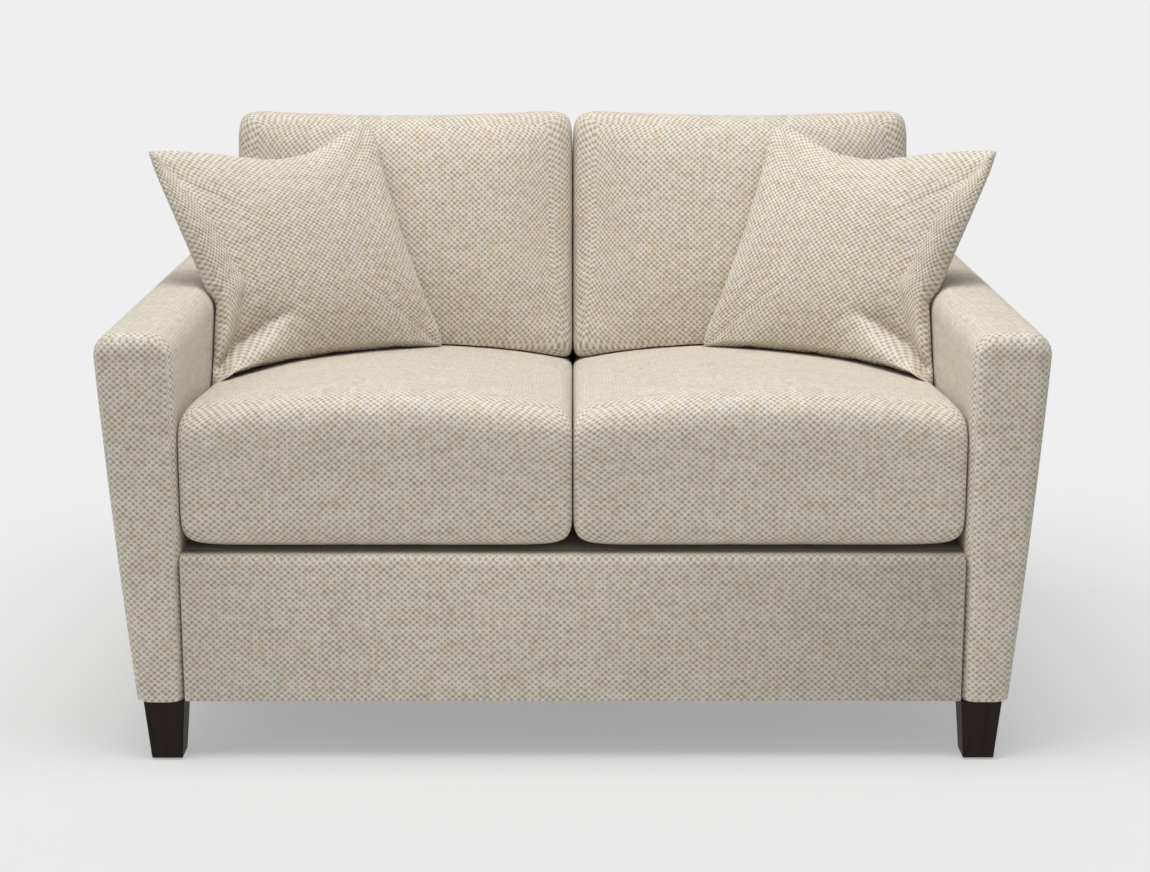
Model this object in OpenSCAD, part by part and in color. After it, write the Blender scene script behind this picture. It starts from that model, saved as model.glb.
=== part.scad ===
// Two-seat upholstered settee with loose seat, back and throw cushions.
// Millimetres. The origin is on the floor, under the middle of the whole settee.
// Shapes are drawn with y = 0 at the front of the arms and are then moved back.

/* [Overall] */
// Width of one seat place, from an arm to the middle
place_width = 590; // [500:5:700]
// Depth from the front of the arms to the outside back
overall_depth = 950; // [860:5:1120]
// Height of the frame's underside above the floor
leg_height = 92; // [60:1:150]
// Height of the top of the arms above the floor
arm_height = 660; // [600:5:760]
// Height of the top of the back frame above the floor
back_height = 847; // [790:1:980]

/* [Arms] */
// Width of an arm at its foot
arm_foot_width = 75; // [60:1:110]
// Width of an arm at its top
arm_top_width = 120; // [110:1:160]
// How far the outside of an arm bows out past a straight line
arm_bow = 3; // [0:0.5:6]
// Rounding along the top edges of an arm
arm_top_round = 36; // [12:1:42]
// Rounding around the front of an arm
arm_front_round = 24; // [6:1:28]
// Padding between the cover and the frame of an arm
arm_pad = 12; // [8:1:16]

/* [Front rail] */
// Height of the padded front rail
rail_height = 230; // [200:5:280]
// Distance from the front of the arms back to the front rail
rail_set_back = 4; // [1:0.5:20]
// Rounding along the top front edge of the rail
rail_round = 17; // [3:0.5:20]
// Padding between the rail's cover and its board
rail_pad = 9; // [8:0.5:14]

/* [Legs] */
// Side of the square top of a leg
leg_top = 62; // [50:1:66]
// Side of the square foot of a leg
leg_foot = 47; // [36:1:50]
// How far the foot of a leg reaches past its top, to the front or to the rear
leg_rake = 3; // [0:0.5:6]
// Distance from the front of the arms back to the top of a leg
leg_set_back = 3; // [3:0.5:12]
// Thickness of the glide under a leg
glide_thickness = 3; // [2:0.5:5]
// Diameter of the glide under a leg
glide_diameter = 30; // [20:1:34]

/* [Back] */
// Thickness of the back where it meets the deck
back_foot_thickness = 180; // [160:5:220]
// Lean of the inside back
back_lean = 12; // [8:0.5:14]
// Padding on the inside back
back_pad = 18; // [12:1:22]
// Rounding along the top and sides of the inside back
back_round = 16; // [8:1:18]

/* [Seat cushions] */
// Distance from the front of the arms back to a seat cushion
seat_front = 9; // [5:1:40]
// Height of a seat cushion below its widest line
seat_lower_height = 100; // [70:1:110]
// Height of a seat cushion's side edge above its widest line
seat_edge_height = 96; // [80:1:110]
// Extra height in the middle of a seat cushion
seat_crown = 26; // [10:1:36]
// Rise of a seat cushion's front edge, and drop of its rear edge, from its middle
seat_slope = 30; // [14:1:32]
// How far the front of a seat cushion draws in at its middle
seat_draw_in = 3; // [0:0.5:8]

/* [Back cushions] */
// Height of a back cushion along its lean
back_cushion_height = 440; // [360:5:520]
// Thickness of the rear half of a back cushion
back_cushion_rear = 88; // [70:1:105]
// Thickness of the front half of a back cushion at its edges
back_cushion_front = 88; // [70:1:105]
// Extra thickness in the middle of a back cushion
back_cushion_crown = 20; // [8:1:30]
// How far the top of a back cushion dips at its middle
back_cushion_dip = 11; // [0:1:20]

/* [Throw pillows] */
// Width of a throw pillow from corner to corner
pillow_side = 449; // [380:1:500]
// How much wider than its middle a throw pillow is along its top edge, and narrower along its lower edge
pillow_spread = 12; // [0:1:20]
// Height of a throw pillow along its inner edge
pillow_inner_edge = 453; // [390:1:500]
// Height of a throw pillow along its outer edge, where it slumps
pillow_outer_edge = 426; // [370:1:480]
// Thickness of a throw pillow at its middle
pillow_thickness = 140; // [110:5:170]
// How far the sides of a throw pillow draw in at their middles
pillow_draw_in = 18; // [8:1:30]
// Depth of the dip in the top edge of a throw pillow
pillow_dip = 42; // [20:1:50]
// How far the lower outer corner of a throw pillow flops forward
pillow_flop = 26; // [0:1:40]
// Turn of a throw pillow from the back towards the middle
pillow_turn = 30; // [20:1:36]
// Lean of a throw pillow from upright
pillow_lean = 18; // [10:1:22]
// Slope of the lower edge of a throw pillow, down towards the arm
pillow_lower_slope = 4; // [0:1:8]
// Tilt of the side edges of a throw pillow, out over the arm
pillow_side_tilt = 12; // [6:1:14]

/* [Covers and boards] */
// Thickness of the fabric covers on the frame
cover = 2; // [1.5:0.1:3]
// Thickness of a loose cushion's quilted cover
cushion_cover = 4; // [3:0.5:5]
// Thickness of the frame boards
board = 20; // [16:1:25]
// Thickness of the front rail's board
rail_board = 25; // [18:1:30]
// Thickness of the deck's felt pad
deck_pad_thickness = 8; // [6:0.5:12]
// Width of a back web
web_width = 50; // [40:1:60]
// Thickness of a back web
web_thickness = 2; // [1:0.5:4]

/* [Springs] */
// Springs across the seat
spring_count = 6; // [4:1:8]
// Wire diameter of a spring
spring_wire = 4; // [3:0.5:5]
// Width of a spring over its loops
spring_width = 56; // [50:1:64]
// Distance between the cross runs of a spring
spring_pitch = 30; // [24:1:34]

/* [Fasteners] */
// Diameter of the bolts
bolt_diameter = 8; // [6:0.5:10]
// Diameter of a bolt head or a washer
bolt_head = 22; // [18:1:26]
// Thickness of a bolt head, washer or tee nut flange
bolt_head_thickness = 3; // [2:0.5:4]
// Outer diameter of a tee nut's barrel
tee_nut_barrel = 11; // [10.5:0.5:14]
// Depth of a leg's hanger bolt
hanger_depth = 40; // [30:1:50]

/* [Zips] */
// Distance from a cushion's side to the end of its zip
zip_margin = 100; // [90:1:140]
// Height of a zip's slot
zip_height = 8; // [6:0.5:10]
// Length of a zip slider with its tab
slider_length = 30; // [22:1:40]

/* [Hidden] */

// Colours
fabric = [0.80, 0.76, 0.68];
lining = [0.68, 0.65, 0.58];
foam = [0.93, 0.88, 0.72];
fibre = [0.95, 0.95, 0.93];
lumber = [0.80, 0.64, 0.44];
dark_wood = [0.16, 0.11, 0.09];
steel = [0.62, 0.63, 0.65];
nylon = [0.85, 0.84, 0.80];
black_felt = [0.16, 0.16, 0.17];

// Clearances and overruns
rest_gap = 0.4;
surface_slack = 0.4;
seat_rear_gap = 6;
zip_gap = 0.3;
bore_clearance = 0.4;
overrun = 1;

// Facets and steps
bore_facets = 48;
arc_steps = 6;
round_steps = 4;

// Levels and lines that the pieces share
deck_z = leg_height + rail_height;
back_y = overall_depth - back_foot_thickness;
frame_inset = cover + arm_pad;
frame_bottom = leg_height + cover;
frame_top = deck_z - cover;
rail_board_front = rail_set_back + cover + rail_pad;
rail_board_rear = rail_board_front + rail_board;
post_width = 2 * board;
back_frame_inset = cover + back_pad + web_thickness;
bore_radius = (bolt_diameter + bore_clearance) / 2;

// Outlines and arcs

function sum(list, i = 0) = i == len(list) ? 0 : list[i] + sum(list, i + 1);

function unit(v) = v / norm(v);

// The arc that rounds a corner of an outline, from its side before to its side after
function corner_arc(before, corner, after, radius) =
    radius <= 0 ? [corner] :
    let (
        to_before = unit(before - corner),
        to_after = unit(after - corner),
        half_angle = acos(to_before * to_after) / 2,
        centre = corner + unit(to_before + to_after) * radius / sin(half_angle),
        from_start = corner + to_before * radius / tan(half_angle) - centre,
        from_end = corner + to_after * radius / tan(half_angle) - centre,
        start_angle = atan2(from_start.y, from_start.x),
        turn = atan2(from_end.y, from_end.x) - start_angle,
        sweep = turn > 180 ? turn - 360 : turn < -180 ? turn + 360 : turn
    )
    [for (i = [0 : arc_steps])
        let (angle = start_angle + sweep * i / arc_steps)
        centre + radius * [cos(angle), sin(angle)]];

// An outline from corners given as [across, up, radius]
function rounded_outline(corners) =
    let (count = len(corners))
    [for (i = [0 : count - 1])
        let (
            before = corners[(i + count - 1) % count],
            after = corners[(i + 1) % count]
        )
        each corner_arc([before.x, before.y], [corners[i].x, corners[i].y],
                        [after.x, after.y], corners[i].z)];

// A rectangle's corners for rounded_outline, anticlockwise from the low left
function rectangle_corners(low, high, radii) = [
    [low.x, low.y, radii[0]],
    [high.x, low.y, radii[1]],
    [high.x, high.y, radii[2]],
    [low.x, high.y, radii[3]]
];

// The middle of a ring of points
function ring_middle(ring) =
    [for (axis = [0 : 2]) sum([for (p = ring) p[axis]]) / len(ring)];

// Skins a stack of rings with equal point counts and closes each end at a tip.
// Seen against the stack's direction, each ring runs anticlockwise.
module skin(rings, first_tip, last_tip) {
    count = len(rings[0]);
    last = len(rings) - 1;
    ring_points = [for (ring = rings) each ring];
    first = len(ring_points);
    sides = [for (k = [0 : last - 1], i = [0 : count - 1])
        let (
            a = k * count + i,
            b = k * count + (i + 1) % count
        )
        each [[a, a + count, b], [b, a + count, b + count]]];
    first_end = [for (i = [0 : count - 1]) [first, i, (i + 1) % count]];
    last_end = [for (i = [0 : count - 1])
        [first + 1, last * count + (i + 1) % count, last * count + i]];
    polyhedron(
        points = concat(ring_points, [first_tip, last_tip]),
        faces = concat(sides, first_end, last_end),
        convexity = 6
    );
}

// Skins rings and closes both ends flat
module flat_ended_skin(rings) {
    skin(rings, ring_middle(rings[0]), ring_middle(rings[len(rings) - 1]));
}

// Extrudes a y-z outline from x0 to x1
module across(x0, x1) {
    translate([x0, 0, 0])
        rotate([90, 0, 90])
            linear_extrude(x1 - x0)
                children();
}

// Extrudes an x-z outline from y0 to y1
module along_depth(y0, y1) {
    translate([0, y1, 0])
        rotate([90, 0, 0])
            linear_extrude(y1 - y0)
                children();
}

// A box between its low and high corners
module block(low, high) {
    translate(low)
        cube(high - low);
}

// An upright round bar from z0 to z1
module upright_bar(centre, radius, z0, z1) {
    translate([centre.x, centre.y, z0])
        cylinder(r = radius, h = z1 - z0, $fn = bore_facets);
}

// A round bar along x from x0 to x1
module cross_bar(y, z, radius, x0, x1) {
    translate([x0, y, z])
        rotate([0, 90, 0])
            cylinder(r = radius, h = x1 - x0, $fn = bore_facets);
}

// Moves a piece from the front of the arms to the settee's origin
module place() {
    translate([0, -overall_depth / 2, 0])
        children();
}

module mirrored() {
    mirror([1, 0, 0])
        children();
}

module both_sides() {
    children();
    mirrored()
        children();
}

// Arms

arm_bow_shares = [0.2, 0.4, 0.6, 0.8];

// Corners of the right arm's end, drawn in by inset, with its underside lowered by drop
function arm_corners(inset, drop) =
    let (
        inner_x = place_width + inset,
        foot_x = place_width + arm_foot_width - inset,
        top_x = place_width + arm_top_width - inset,
        top_z = arm_height - inset,
        radius = max(arm_top_round - inset, overrun)
    )
    concat(
        [[inner_x, leg_height - drop, 0], [foot_x, leg_height - drop, 0]],
        [for (share = arm_bow_shares)
            [foot_x + (top_x - foot_x) * share + arm_bow * 4 * share * (1 - share),
             leg_height + (top_z - leg_height) * share, 0]],
        [[top_x, top_z, radius], [inner_x, top_z, radius]]
    );

function arm_outline(inset, drop = 0) = rounded_outline(arm_corners(inset, drop));

function arm_ring(y, inset, drop) = [for (p = arm_outline(inset, drop)) [p.x, y, p.y]];

// The whole right arm, drawn in by inset, with its front and rear edges rounded
module arm_body(inset, drop = 0) {
    front_round = arm_front_round - inset;
    rear_round = arm_front_round / 2 - inset;
    rear = [for (i = [0 : round_steps])
        let (angle = 90 * i / round_steps)
        arm_ring(overall_depth - inset - rear_round * (1 - cos(angle)),
                 inset + rear_round * (1 - sin(angle)), drop)];
    front = [for (i = [round_steps : -1 : 0])
        let (angle = 90 * i / round_steps)
        arm_ring(inset + front_round * (1 - cos(angle)),
                 inset + front_round * (1 - sin(angle)), drop)];
    flat_ended_skin(concat(rear, front));
}

// The space inside the right arm's padding, from y0 to y1 and from z0 to z1
module arm_frame_space(y0, y1, z0, z1) {
    intersection() {
        along_depth(y0, y1)
            polygon(arm_outline(frame_inset));
        block([place_width, y0, z0], [place_width + arm_top_width, y1, z1]);
    }
}

arm_board_top = leg_height + board;
arm_frame_top = arm_height - frame_inset;
arm_frame_front = frame_inset;
arm_frame_rear = overall_depth - cover;
arm_rail_x = place_width + frame_inset;
arm_rail_height = 90;
arm_bolt_z = arm_board_top + arm_rail_height / 2;
arm_bolt_shares = [0.15, 0.5, 0.85];
arm_bolt_ys = [for (share = arm_bolt_shares) rail_board_rear + (back_y - rail_board_rear) * share];

module arm_cover() {
    color(fabric)
        difference() {
            arm_body(0);
            arm_body(cover, overrun);
            arm_bolt_bores();
        }
}

module arm_padding() {
    color(foam)
        difference() {
            arm_body(cover);
            along_depth(arm_frame_front, arm_frame_rear + overrun)
                polygon(arm_outline(frame_inset, overrun));
            arm_bolt_bores();
        }
}

module arm_front_panel() {
    color(lumber)
        difference() {
            arm_frame_space(arm_frame_front, arm_frame_front + board, arm_board_top, arm_frame_top);
            tee_nut_notch(leg_centre_y);
        }
}

module arm_rear_panel() {
    color(lumber)
        difference() {
            arm_frame_space(arm_frame_rear - board, arm_frame_rear, arm_board_top, arm_frame_top);
            tee_nut_notch(overall_depth - leg_centre_y);
        }
}

module arm_top_rail() {
    color(lumber)
        arm_frame_space(arm_frame_front + board, arm_frame_rear - board,
                        arm_frame_top - board, arm_frame_top);
}

module arm_bottom_board() {
    color(lumber)
        difference() {
            arm_frame_space(arm_frame_front, arm_frame_rear, leg_height, arm_board_top);
            for (y = [leg_centre_y, overall_depth - leg_centre_y])
                upright_bar([leg_centre_x, y], tee_nut_barrel / 2 + bore_clearance / 2,
                            leg_height - overrun, arm_board_top + overrun);
        }
}

module arm_inner_rail() {
    color(lumber)
        difference() {
            block([arm_rail_x, arm_frame_front + board, arm_board_top],
                  [arm_rail_x + board, arm_frame_rear - board, arm_board_top + arm_rail_height]);
            arm_bolt_bores();
            tee_nut_notch(leg_centre_y);
            tee_nut_notch(overall_depth - leg_centre_y);
        }
}

// Bores for the bolts that hold the right arm to the base
module arm_bolt_bores() {
    for (y = arm_bolt_ys)
        cross_bar(y, arm_bolt_z, bore_radius,
                  place_width - board - overrun, arm_rail_x + board + overrun);
}

module arm_bolts() {
    color(steel)
        both_sides()
            for (y = arm_bolt_ys) {
                cross_bar(y, arm_bolt_z, bolt_diameter / 2,
                          place_width - board - overrun, arm_rail_x + board + overrun);
                cross_bar(y, arm_bolt_z, bolt_head / 2,
                          place_width - board - bolt_head_thickness, place_width - board);
                cross_bar(y, arm_bolt_z, bolt_head / 2,
                          arm_rail_x + board, arm_rail_x + board + bolt_head_thickness);
            }
}

// Legs and what holds them

leg_side_inset = 1;
leg_toe_in = 2.5;
leg_centre_x = place_width + leg_side_inset + leg_top / 2;
leg_foot_x = leg_centre_x - leg_toe_in;
leg_centre_y = leg_set_back + leg_top / 2;
leg_foot_y = leg_set_back - leg_rake + leg_foot / 2;

// A board's outline that tapers from its top to its foot
function tapered_outline(top_middle, foot_middle) = [
    [foot_middle - leg_foot / 2, glide_thickness],
    [foot_middle + leg_foot / 2, glide_thickness],
    [top_middle + leg_top / 2, leg_height],
    [top_middle - leg_top / 2, leg_height]
];

module front_leg() {
    color(dark_wood)
        difference() {
            intersection() {
                along_depth(-leg_top, 2 * leg_top)
                    polygon(tapered_outline(leg_centre_x, leg_foot_x));
                across(place_width - leg_top, place_width + 2 * leg_top)
                    polygon(tapered_outline(leg_centre_y, leg_foot_y));
            }
            upright_bar([leg_centre_x, leg_centre_y], bore_radius,
                        leg_height - hanger_depth - bore_clearance, leg_height + overrun);
        }
}

// Turns a front piece into a rear piece
module to_rear() {
    translate([0, overall_depth, 0])
        mirror([0, 1, 0])
            children();
}

module at_each_leg() {
    both_sides() {
        children();
        to_rear()
            children();
    }
}

module leg_glides() {
    color(nylon)
        at_each_leg()
            upright_bar([leg_foot_x, leg_foot_y], glide_diameter / 2, 0, glide_thickness);
}

hanger_top = arm_board_top + bolt_head_thickness;

module hanger_bolts() {
    color(steel)
        at_each_leg()
            upright_bar([leg_centre_x, leg_centre_y], bolt_diameter / 2,
                        leg_height - hanger_depth, hanger_top);
}

module tee_nuts() {
    color(steel)
        at_each_leg()
            difference() {
                union() {
                    upright_bar([leg_centre_x, leg_centre_y], tee_nut_barrel / 2,
                                leg_height + overrun, arm_board_top);
                    upright_bar([leg_centre_x, leg_centre_y], bolt_head / 2,
                                arm_board_top, hanger_top);
                }
                upright_bar([leg_centre_x, leg_centre_y], bore_radius,
                            leg_height, hanger_top + overrun);
            }
}

// Room for a tee nut's flange in the foot of an arm panel or rail
module tee_nut_notch(y) {
    upright_bar([leg_centre_x, y], bolt_head / 2 + overrun, leg_height, hanger_top + overrun);
}

// Front rail, base boards and deck

// The rail's end outline, with its upper front edge rounded
function rail_outline(inset, reach) =
    let (
        front_y = rail_set_back + inset,
        rear_y = rail_board_rear + reach
    )
    rounded_outline(rectangle_corners([front_y, leg_height + inset], [rear_y, deck_z - inset],
                                      [0, 0, 0, rail_round - inset]));

module front_rail_cover() {
    color(fabric)
        across(-place_width, place_width)
            difference() {
                polygon(rail_outline(0, 0));
                polygon(rail_outline(cover, overrun));
            }
}

module front_rail_pad() {
    color(foam)
        across(-place_width, place_width)
            intersection() {
                polygon(rail_outline(cover, 0));
                translate([rail_set_back, leg_height])
                    square([cover + rail_pad, rail_height]);
            }
}

// The rail's board, its upper front corner eased to follow the cover
module front_rail() {
    color(lumber)
        intersection() {
            block([-place_width, rail_board_front, frame_bottom],
                  [place_width, rail_board_rear, frame_top]);
            across(-place_width, place_width)
                polygon(rail_outline(cover, 0));
        }
}

back_rail_rear = back_face_y(deck_z, back_frame_inset);
back_rail_front = back_rail_rear - board;

module back_rail() {
    color(lumber)
        block([-place_width, back_rail_front, frame_bottom],
              [place_width, back_rail_rear, frame_top]);
}

module base_side_rail() {
    color(lumber)
        difference() {
            block([place_width - board, rail_board_rear, frame_bottom],
                  [place_width, back_rail_front, frame_top]);
            arm_bolt_bores();
        }
}

module deck_cover() {
    color(lining)
        block([-place_width, rail_board_rear, frame_top],
              [place_width, back_rail_rear, deck_z]);
}

deck_pad_bottom = frame_top - deck_pad_thickness;

module deck_pad() {
    color(fibre)
        block([-(place_width - board), rail_board_rear, deck_pad_bottom],
              [place_width - board, back_rail_front, frame_top]);
}

module dust_cover() {
    color(black_felt)
        block([-place_width, rail_board_rear, leg_height],
              [place_width, overall_depth - cover, frame_bottom]);
}

// Springs

clip_depth = 12;
clip_height = 12;
spring_start = rail_board_rear + clip_depth / 2;
spring_end = back_rail_front - clip_depth / 2;
spring_turns = round((spring_end - spring_start) / spring_pitch);
spring_run = (spring_end - spring_start) / spring_turns;
spring_half_run = spring_width / 2 - spring_run / 2 - spring_wire / 2;
spring_spacing = 2 * (place_width - board) / spring_count;
spring_xs = [for (i = [0 : spring_count - 1])
    -(place_width - board) + spring_spacing * (i + 0.5)];
turn_steps = 4;
clip_width = 2 * (spring_half_run - overrun);

// Points along the middle of the wire, each with the direction to its left
spring_line = concat(
    [[-spring_half_run, spring_start, 0, 1]],
    [for (k = [0 : spring_turns - 1], i = [0 : turn_steps])
        let (
            side = k % 2 == 0 ? 1 : -1,
            angle = -90 + 180 * i / turn_steps,
            middle_y = spring_start + spring_run * (k + 0.5)
        )
        [side * (spring_half_run + spring_run / 2 * cos(angle)),
         middle_y + spring_run / 2 * sin(angle), -cos(angle), -side * sin(angle)]],
    [[(spring_turns % 2 == 0 ? 1 : -1) * spring_half_run, spring_end,
      0, spring_turns % 2 == 0 ? 1 : -1]]
);

function wire_side(offset) =
    [for (p = spring_line) [p[0] + offset * p[2], p[1] + offset * p[3]]];

function reversed(list) = [for (i = [len(list) - 1 : -1 : 0]) list[i]];

module seat_springs() {
    color(steel)
        for (x = spring_xs)
            translate([x, 0, deck_pad_bottom - spring_wire])
                linear_extrude(spring_wire)
                    polygon(concat(wire_side(spring_wire / 2),
                                   reversed(wire_side(-spring_wire / 2))));
}

module spring_clip(x, y) {
    slot_half = spring_wire / 2 + zip_gap;
    difference() {
        block([x - clip_width / 2, y - clip_depth / 2, deck_pad_bottom - clip_height],
              [x + clip_width / 2, y + clip_depth / 2, deck_pad_bottom]);
        block([x - clip_width, y - slot_half, deck_pad_bottom - spring_wire],
              [x + clip_width, y + slot_half, deck_pad_bottom + overrun]);
    }
}

module spring_clips() {
    color(nylon)
        for (x = spring_xs, y = [spring_start, spring_end])
            spring_clip(x, y);
}

// Back frame

// Depth of the inside back at height z, drawn in by inset
function back_face_y(z, inset) =
    back_y + (z - deck_z) * tan(back_lean) + inset / cos(back_lean);

// The back's end outline above the deck, drawn in by inset and opened to the rear and below
function back_outline(inset, open) =
    let (
        rear_y = overall_depth - cover + open,
        low_z = deck_z - open,
        top_z = back_height - inset,
        radius = max(back_round - inset, overrun)
    )
    rounded_outline([
        [back_face_y(low_z, inset), low_z, 0],
        [rear_y, low_z, 0],
        [rear_y, top_z, 0],
        [back_face_y(top_z, inset), top_z, radius]
    ]);

// The whole back above the deck, drawn in by inset, with its side edges rounded
module back_body(inset, open = 0) {
    round = back_round - inset;
    low_side = [for (i = [0 : round_steps])
        let (angle = 90 * i / round_steps)
        [for (p = back_outline(inset + round * (1 - sin(angle)), open))
            [-place_width + inset + round * (1 - cos(angle)), p.x, p.y]]];
    high_side = [for (ring = reversed(low_side)) [for (p = ring) [-p.x, p.y, p.z]]];
    flat_ended_skin(concat(low_side, high_side));
}

module inside_back_cover() {
    color(fabric)
        difference() {
            back_body(0);
            back_body(cover, overrun);
        }
}

module back_padding() {
    color(foam)
        difference() {
            back_body(cover);
            across(-place_width, place_width)
                polygon(back_outline(cover + back_pad, overrun));
        }
}

module outside_back_cover() {
    color(fabric)
        along_depth(overall_depth - cover, overall_depth)
            polygon(rounded_outline(rectangle_corners(
                [-place_width, leg_height], [place_width, back_height],
                [0, 0, back_round, back_round])));
}

post_top = back_height - cover - back_pad - board;
post_rear = overall_depth - cover;
post_side = place_width - cover;

module back_posts() {
    color(lumber)
        for (x = [-post_side, -post_width / 2, post_side - post_width])
            across(x, x + post_width)
                polygon([
                    [back_rail_rear, frame_bottom],
                    [post_rear, frame_bottom],
                    [post_rear, post_top],
                    [back_face_y(post_top, back_frame_inset), post_top],
                    [back_rail_rear, deck_z]
                ]);
}

module back_top_rail() {
    color(lumber)
        across(-post_side, post_side)
            polygon([
                [back_face_y(post_top, back_frame_inset), post_top],
                [post_rear, post_top],
                [post_rear, post_top + board],
                [back_face_y(post_top + board, back_frame_inset), post_top + board]
            ]);
}

back_lower_rail_height = 80;

module back_lower_rails() {
    color(lumber)
        both_sides()
            block([post_width / 2, post_rear - board, deck_z],
                  [post_side - post_width, post_rear, deck_z + back_lower_rail_height]);
}

web_shares = [0.12, 0.37, 0.62, 0.87];
// Room before and behind the webbing
web_room = 0.1;

module back_webbing() {
    color(black_felt)
        for (share = web_shares) {
            z0 = deck_z + (post_top - deck_z) * share - web_width / 2;
            z1 = z0 + web_width;
            across(-post_side, post_side)
                polygon([
                    [back_face_y(z0, cover + back_pad + web_room), z0],
                    [back_face_y(z0, back_frame_inset - web_room), z0],
                    [back_face_y(z1, back_frame_inset - web_room), z1],
                    [back_face_y(z1, cover + back_pad + web_room), z1]
                ]);
        }
}

// Cushion forms

// Shares of the way from a cushion's middle to its widest line
soft_cap_shares = [1, 0.99, 0.965, 0.92, 0.85, 0.7, 0.45, 0.2];
flat_cap_shares = [0.99, 0.95, 0.8, 0.4];
inner_cap_shares = [0.985, 0.93, 0.78, 0.4];
// Shares of the way along one side of a square, from its middle at 0 to its corners
side_shares = [-1, -0.93, -0.8, -0.45, 0, 0.45, 0.8, 0.93];
inner_side_shares = [-1, -0.85, 0, 0.85];

// Powers of the rounded forms: the higher, the squarer
seat_square_power = 60;
back_square_power = 16;
base_power = 7;
flat_power = 8;
soft_power = 5;
// How much squarer a seat cushion's top is along its sides than along its front
seat_side_firmness = 7;
// How much squarer its underside is along its front and rear than along its sides
seat_base_firmness = 2;
// A back cushion is squarer along its lower edge, where it stands on the seat
back_lower_square_power = 30;
back_lower_firmness = 5;

// Points round a square from -1 to 1, anticlockwise
function square_walk(shares) = concat(
    [for (share = shares) [share, -1]],
    [for (share = shares) [1, share]],
    [for (share = shares) [-share, 1]],
    [for (share = shares) [-1, -share]]
);

// How far out a point lies in a round-cornered square: 0 in the middle, 1 on the edge
function gauge(p, power) = pow(pow(abs(p.x), power) + pow(abs(p.y), power), 1 / power);

// Points round a square with rounded corners
function square_ring(shares, power) = [for (p = square_walk(shares)) p / gauge(p, power)];

// How a cushion's thickness falls off from its middle, 1, to its widest line, 0
function fall(share, power) = share >= 1 ? 0 : pow(1 - pow(share, power), 1 / power);

// Seat cushions

seat_centre_x = place_width / 2;
seat_half_width = place_width / 2 - rest_gap;
seat_rear = back_y - seat_rear_gap;
seat_centre_y = (seat_front + seat_rear) / 2;
seat_half_depth = (seat_rear - seat_front) / 2;
seat_middle_z = deck_z + rest_gap + seat_lower_height;

// Height of a seat cushion's top above its widest line, before it falls off to the edges
function seat_rise(p) = seat_edge_height + seat_crown * (1 - p.x * p.x) - seat_slope * p.y;

// Power of the top's roundness at a point
function seat_firmness(p) =
    flat_power + seat_side_firmness * pow(min(1, abs(p.x)), 8) * (1 - pow(min(1, abs(p.y)), 8));

// Power of the underside's roundness at a point
function seat_base_power(p) =
    base_power + seat_base_firmness * pow(min(1, abs(p.y)), 8) * (1 - pow(min(1, abs(p.x)), 8));

// Height of the right seat cushion's top at a point
function seat_top(x, y) =
    let (p = [(x - seat_centre_x) / seat_half_width, (y - seat_centre_y) / seat_half_depth])
    seat_middle_z + seat_rise(p) * fall(gauge(p, seat_square_power), seat_firmness(p));

// Height that what stands on the right seat cushion keeps above, also past its rear edge
function seat_bearing(x, y) =
    let (p = [(x - seat_centre_x) / seat_half_width, (y - seat_centre_y) / seat_half_depth])
    seat_middle_z + seat_rise(p) * fall(abs(p.x), seat_firmness([p.x, 0]));

// A point of the seat cushion; side is 1 above the widest line and -1 below it
function seat_point(p, side, inset) =
    let (
        share = gauge(p, seat_square_power),
        rise = side > 0 ? seat_rise(p) : seat_lower_height,
        draw_in = p.y < 0 ? seat_draw_in * (1 - p.x * p.x) * p.y * p.y : 0
    )
    [seat_centre_x + (seat_half_width - inset) * p.x,
     seat_centre_y + (seat_half_depth - inset) * p.y + draw_in,
     seat_middle_z + side * (rise - inset) * fall(share, side > 0 ? seat_firmness(p) : seat_base_power(p))];

function seat_rings(walk_shares, low_shares, high_shares, inset) =
    let (ring = square_ring(walk_shares, seat_square_power))
    concat(
        [for (share = reversed(low_shares)) [for (p = ring) seat_point(p * share, -1, inset)]],
        [for (share = high_shares) [for (p = ring) seat_point(p * share, 1, inset)]]
    );

module seat_form() {
    skin(seat_rings(side_shares, flat_cap_shares, soft_cap_shares, 0),
         seat_point([0, 0], -1, 0), seat_point([0, 0], 1, 0));
}

module seat_inside(inset) {
    skin(seat_rings(inner_side_shares, inner_cap_shares,
                    concat([1], inner_cap_shares), inset),
         seat_point([0, 0], -1, inset), seat_point([0, 0], 1, inset));
}

// Zips: a chain in the inner half of the cushion's cover and a slider in the outer half

zip_half_length = place_width / 2 - zip_margin;
chain_thickness = cushion_cover / 2;
zip_depth = cushion_cover;
seat_zip_rear = seat_rear - surface_slack;

module seat_zip_slot() {
    block([seat_centre_x - zip_half_length, seat_zip_rear - zip_depth - overrun,
           seat_middle_z - zip_height / 2],
          [seat_centre_x + zip_half_length, seat_rear + overrun, seat_middle_z + zip_height / 2]);
}

module seat_cushion_cover() {
    color(fabric)
        difference() {
            seat_form();
            seat_inside(cushion_cover);
            seat_zip_slot();
        }
}

module seat_cushion_core() {
    color(foam)
        difference() {
            seat_inside(cushion_cover + rest_gap);
            block([seat_centre_x - zip_half_length - overrun, seat_zip_rear - zip_depth - overrun,
                   seat_middle_z - zip_height],
                  [seat_centre_x + zip_half_length + overrun, seat_rear, seat_middle_z + zip_height]);
        }
}

module seat_zip_chain() {
    color(nylon)
        block([seat_centre_x - zip_half_length, seat_zip_rear - zip_depth,
               seat_middle_z - zip_height / 2],
              [seat_centre_x + zip_half_length, seat_zip_rear - zip_depth + chain_thickness,
               seat_middle_z + zip_height / 2]);
}

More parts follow.
